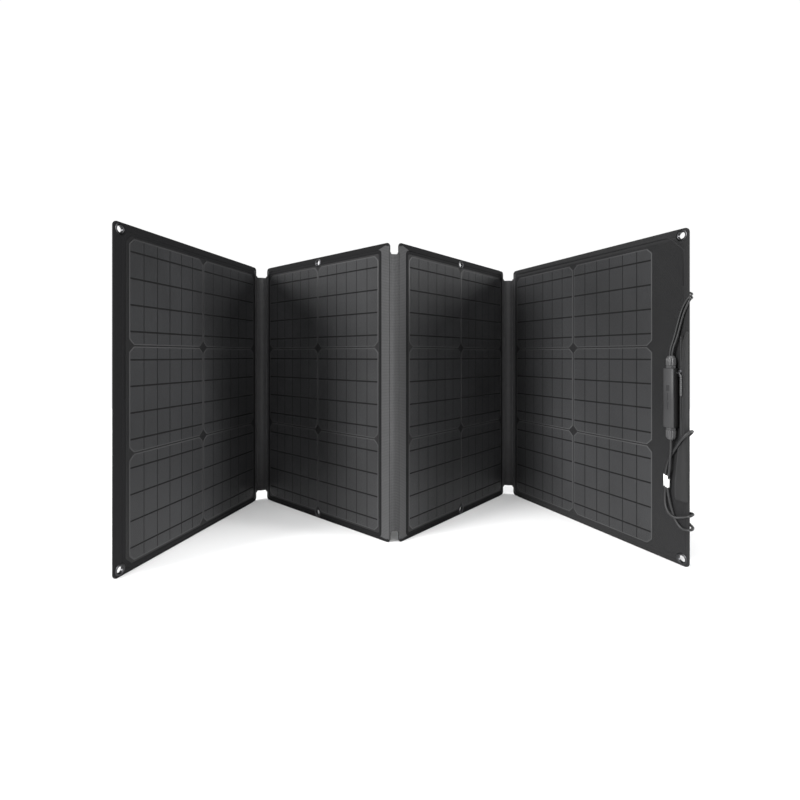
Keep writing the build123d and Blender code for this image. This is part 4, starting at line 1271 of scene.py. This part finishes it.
WIRE_A = [
    (MODULE_X - WIRE_SIDE, MODULE_Y, 317), (MODULE_X - WIRE_SIDE, MODULE_Y, 325),
    (14.6, 5.6, 342), (10.4, 4.1, 362), (6.2, 2.9, 380), (1.6, 2.3, 392), (-2.7, 1.9, 400.5),
    (-2.7, -5.6, 403.5), (6.5, -8.6, 407.6), (14.0, -9.6, 408.4), (20.0, -9.6, 408.4),
]
WIRE_B = [
    (MODULE_X + WIRE_SIDE, MODULE_Y, 317), (MODULE_X + WIRE_SIDE, MODULE_Y, 326),
    (18.4, 5.8, 343.5), (14.2, 4.4, 364), (9.8, 3.1, 383), (4.6, 2.4, 396), (-2.7, 1.9, 405.5),
    (-2.7, -5.6, 409), (6.5, -8.6, 413.0), (14.0, -9.6, 413.8), (20.0, -9.6, 413.8),
]
LEAD = [
    (MODULE_X, MODULE_Y, 189), (MODULE_X, MODULE_Y, 178), (23.1, 7.9, 160), (24.4, 7.0, 142),
    (29.2, 5.9, 119), (27.2, 4.2, 98), (23.4, 2.9, 81), (18.2, 2.8, 66), (8.6, 2.8, 56),
    (-3.7, 2.7, 58.5), (-3.7, -6.3, 60.5), (5.0, -6.5, 65), (15.0, -6.8, 78), (22.0, -6.7, 98),
    (24.5, -6.8, 124), (22.5, -6.7, 150), (16.5, -6.8, 174), (8.0, -6.6, 193),
    (-3.9, -6.3, 205.5), (-4.2, 7.2, 204.5), (4.4, 10.3, 193.5), (13.0, 7.2, 181),
    (20.0, 3.6, 171.5), (26.5, 3.0, 161), (31.5, 2.9, 147), (33.8, 2.8, 131), (33.3, 2.9, 114),
    (34.3, 2.8, 98), (32.2, 4.8, 84), (25.2, 7.4, 74.5), (16.2, 7.2, 71.6), (6.2, 4.0, 75.0),
    (-3.7, 2.7, 79.5), (-3.7, -6.3, 81.5), (6.5, -9.8, 79.5), (15.0, -12.4, 70),
    (21.0, -14.5, 56), (27.0, -18.0, 40), (33.0, -24.0, 24), (38.5, -33.0, 11),
    (42.2, -43.5, 5.2),
]
COIL_STEPS = 14
COIL_LANES = (   # distance from the ring's middle line, and height, turn by turn
    (-4.2, 3.4), (0.0, 3.4), (4.2, 3.4), (2.1, 7.3), (-2.1, 7.3), (-4.2, 11.2), (0.0, 11.2),
    (4.2, 11.2),
)


def coil_turns():
    """Points of the wound length: one turn in each lane, from the ring's left to its back."""
    points = []
    for step in range(len(COIL_LANES) * COIL_STEPS + COIL_STEPS // 4 + 1):
        turn = step / COIL_STEPS
        lane = min(int(turn), len(COIL_LANES) - 1)
        following = min(lane + 1, len(COIL_LANES) - 1)
        mix = min(turn - lane, 1.0) ** 3
        offset, height = (here * (1 - mix) + there * mix
                          for here, there in zip(COIL_LANES[lane], COIL_LANES[following]))
        angle = pi + 2 * pi * turn
        radius = COIL_RADIUS + offset
        points.append((COIL_CENTRE[0] + radius * cos(angle), COIL_CENTRE[1] + radius * sin(angle),
                       height))
    return points


def nurbs(name, points, diameter):
    """A round lead along one smooth NURBS spline."""
    curve = bpy.data.curves.new(name, "CURVE")
    curve.dimensions = "3D"
    curve.bevel_depth = mm(diameter / 2)
    curve.bevel_resolution = 3
    curve.resolution_u = 6
    curve.use_fill_caps = True
    spline = curve.splines.new("NURBS")
    spline.points.add(len(points) - 1)
    for control, point in zip(spline.points, points):
        control.co = (*strip(*point), 1)
    spline.order_u = 3
    spline.use_endpoint_u = True
    piece = linked(name, curve)
    curve.materials.append(SHEATH)
    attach(piece, "panel_4")
    return piece


for name, node, route, length in (("wire_a", "input_lead_a", WIRE_A, 0.1177),
                                  ("wire_b", "input_lead_b", WIRE_B, 0.1243)):
    wire = nurbs(name, route, WIRE)
    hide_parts(node)
    strip(*route[0])
lead = nurbs("lead", LEAD + coil_turns() + TAIL, CABLE)
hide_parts("output_lead", "lead_coil")
strip(*LEAD[0])
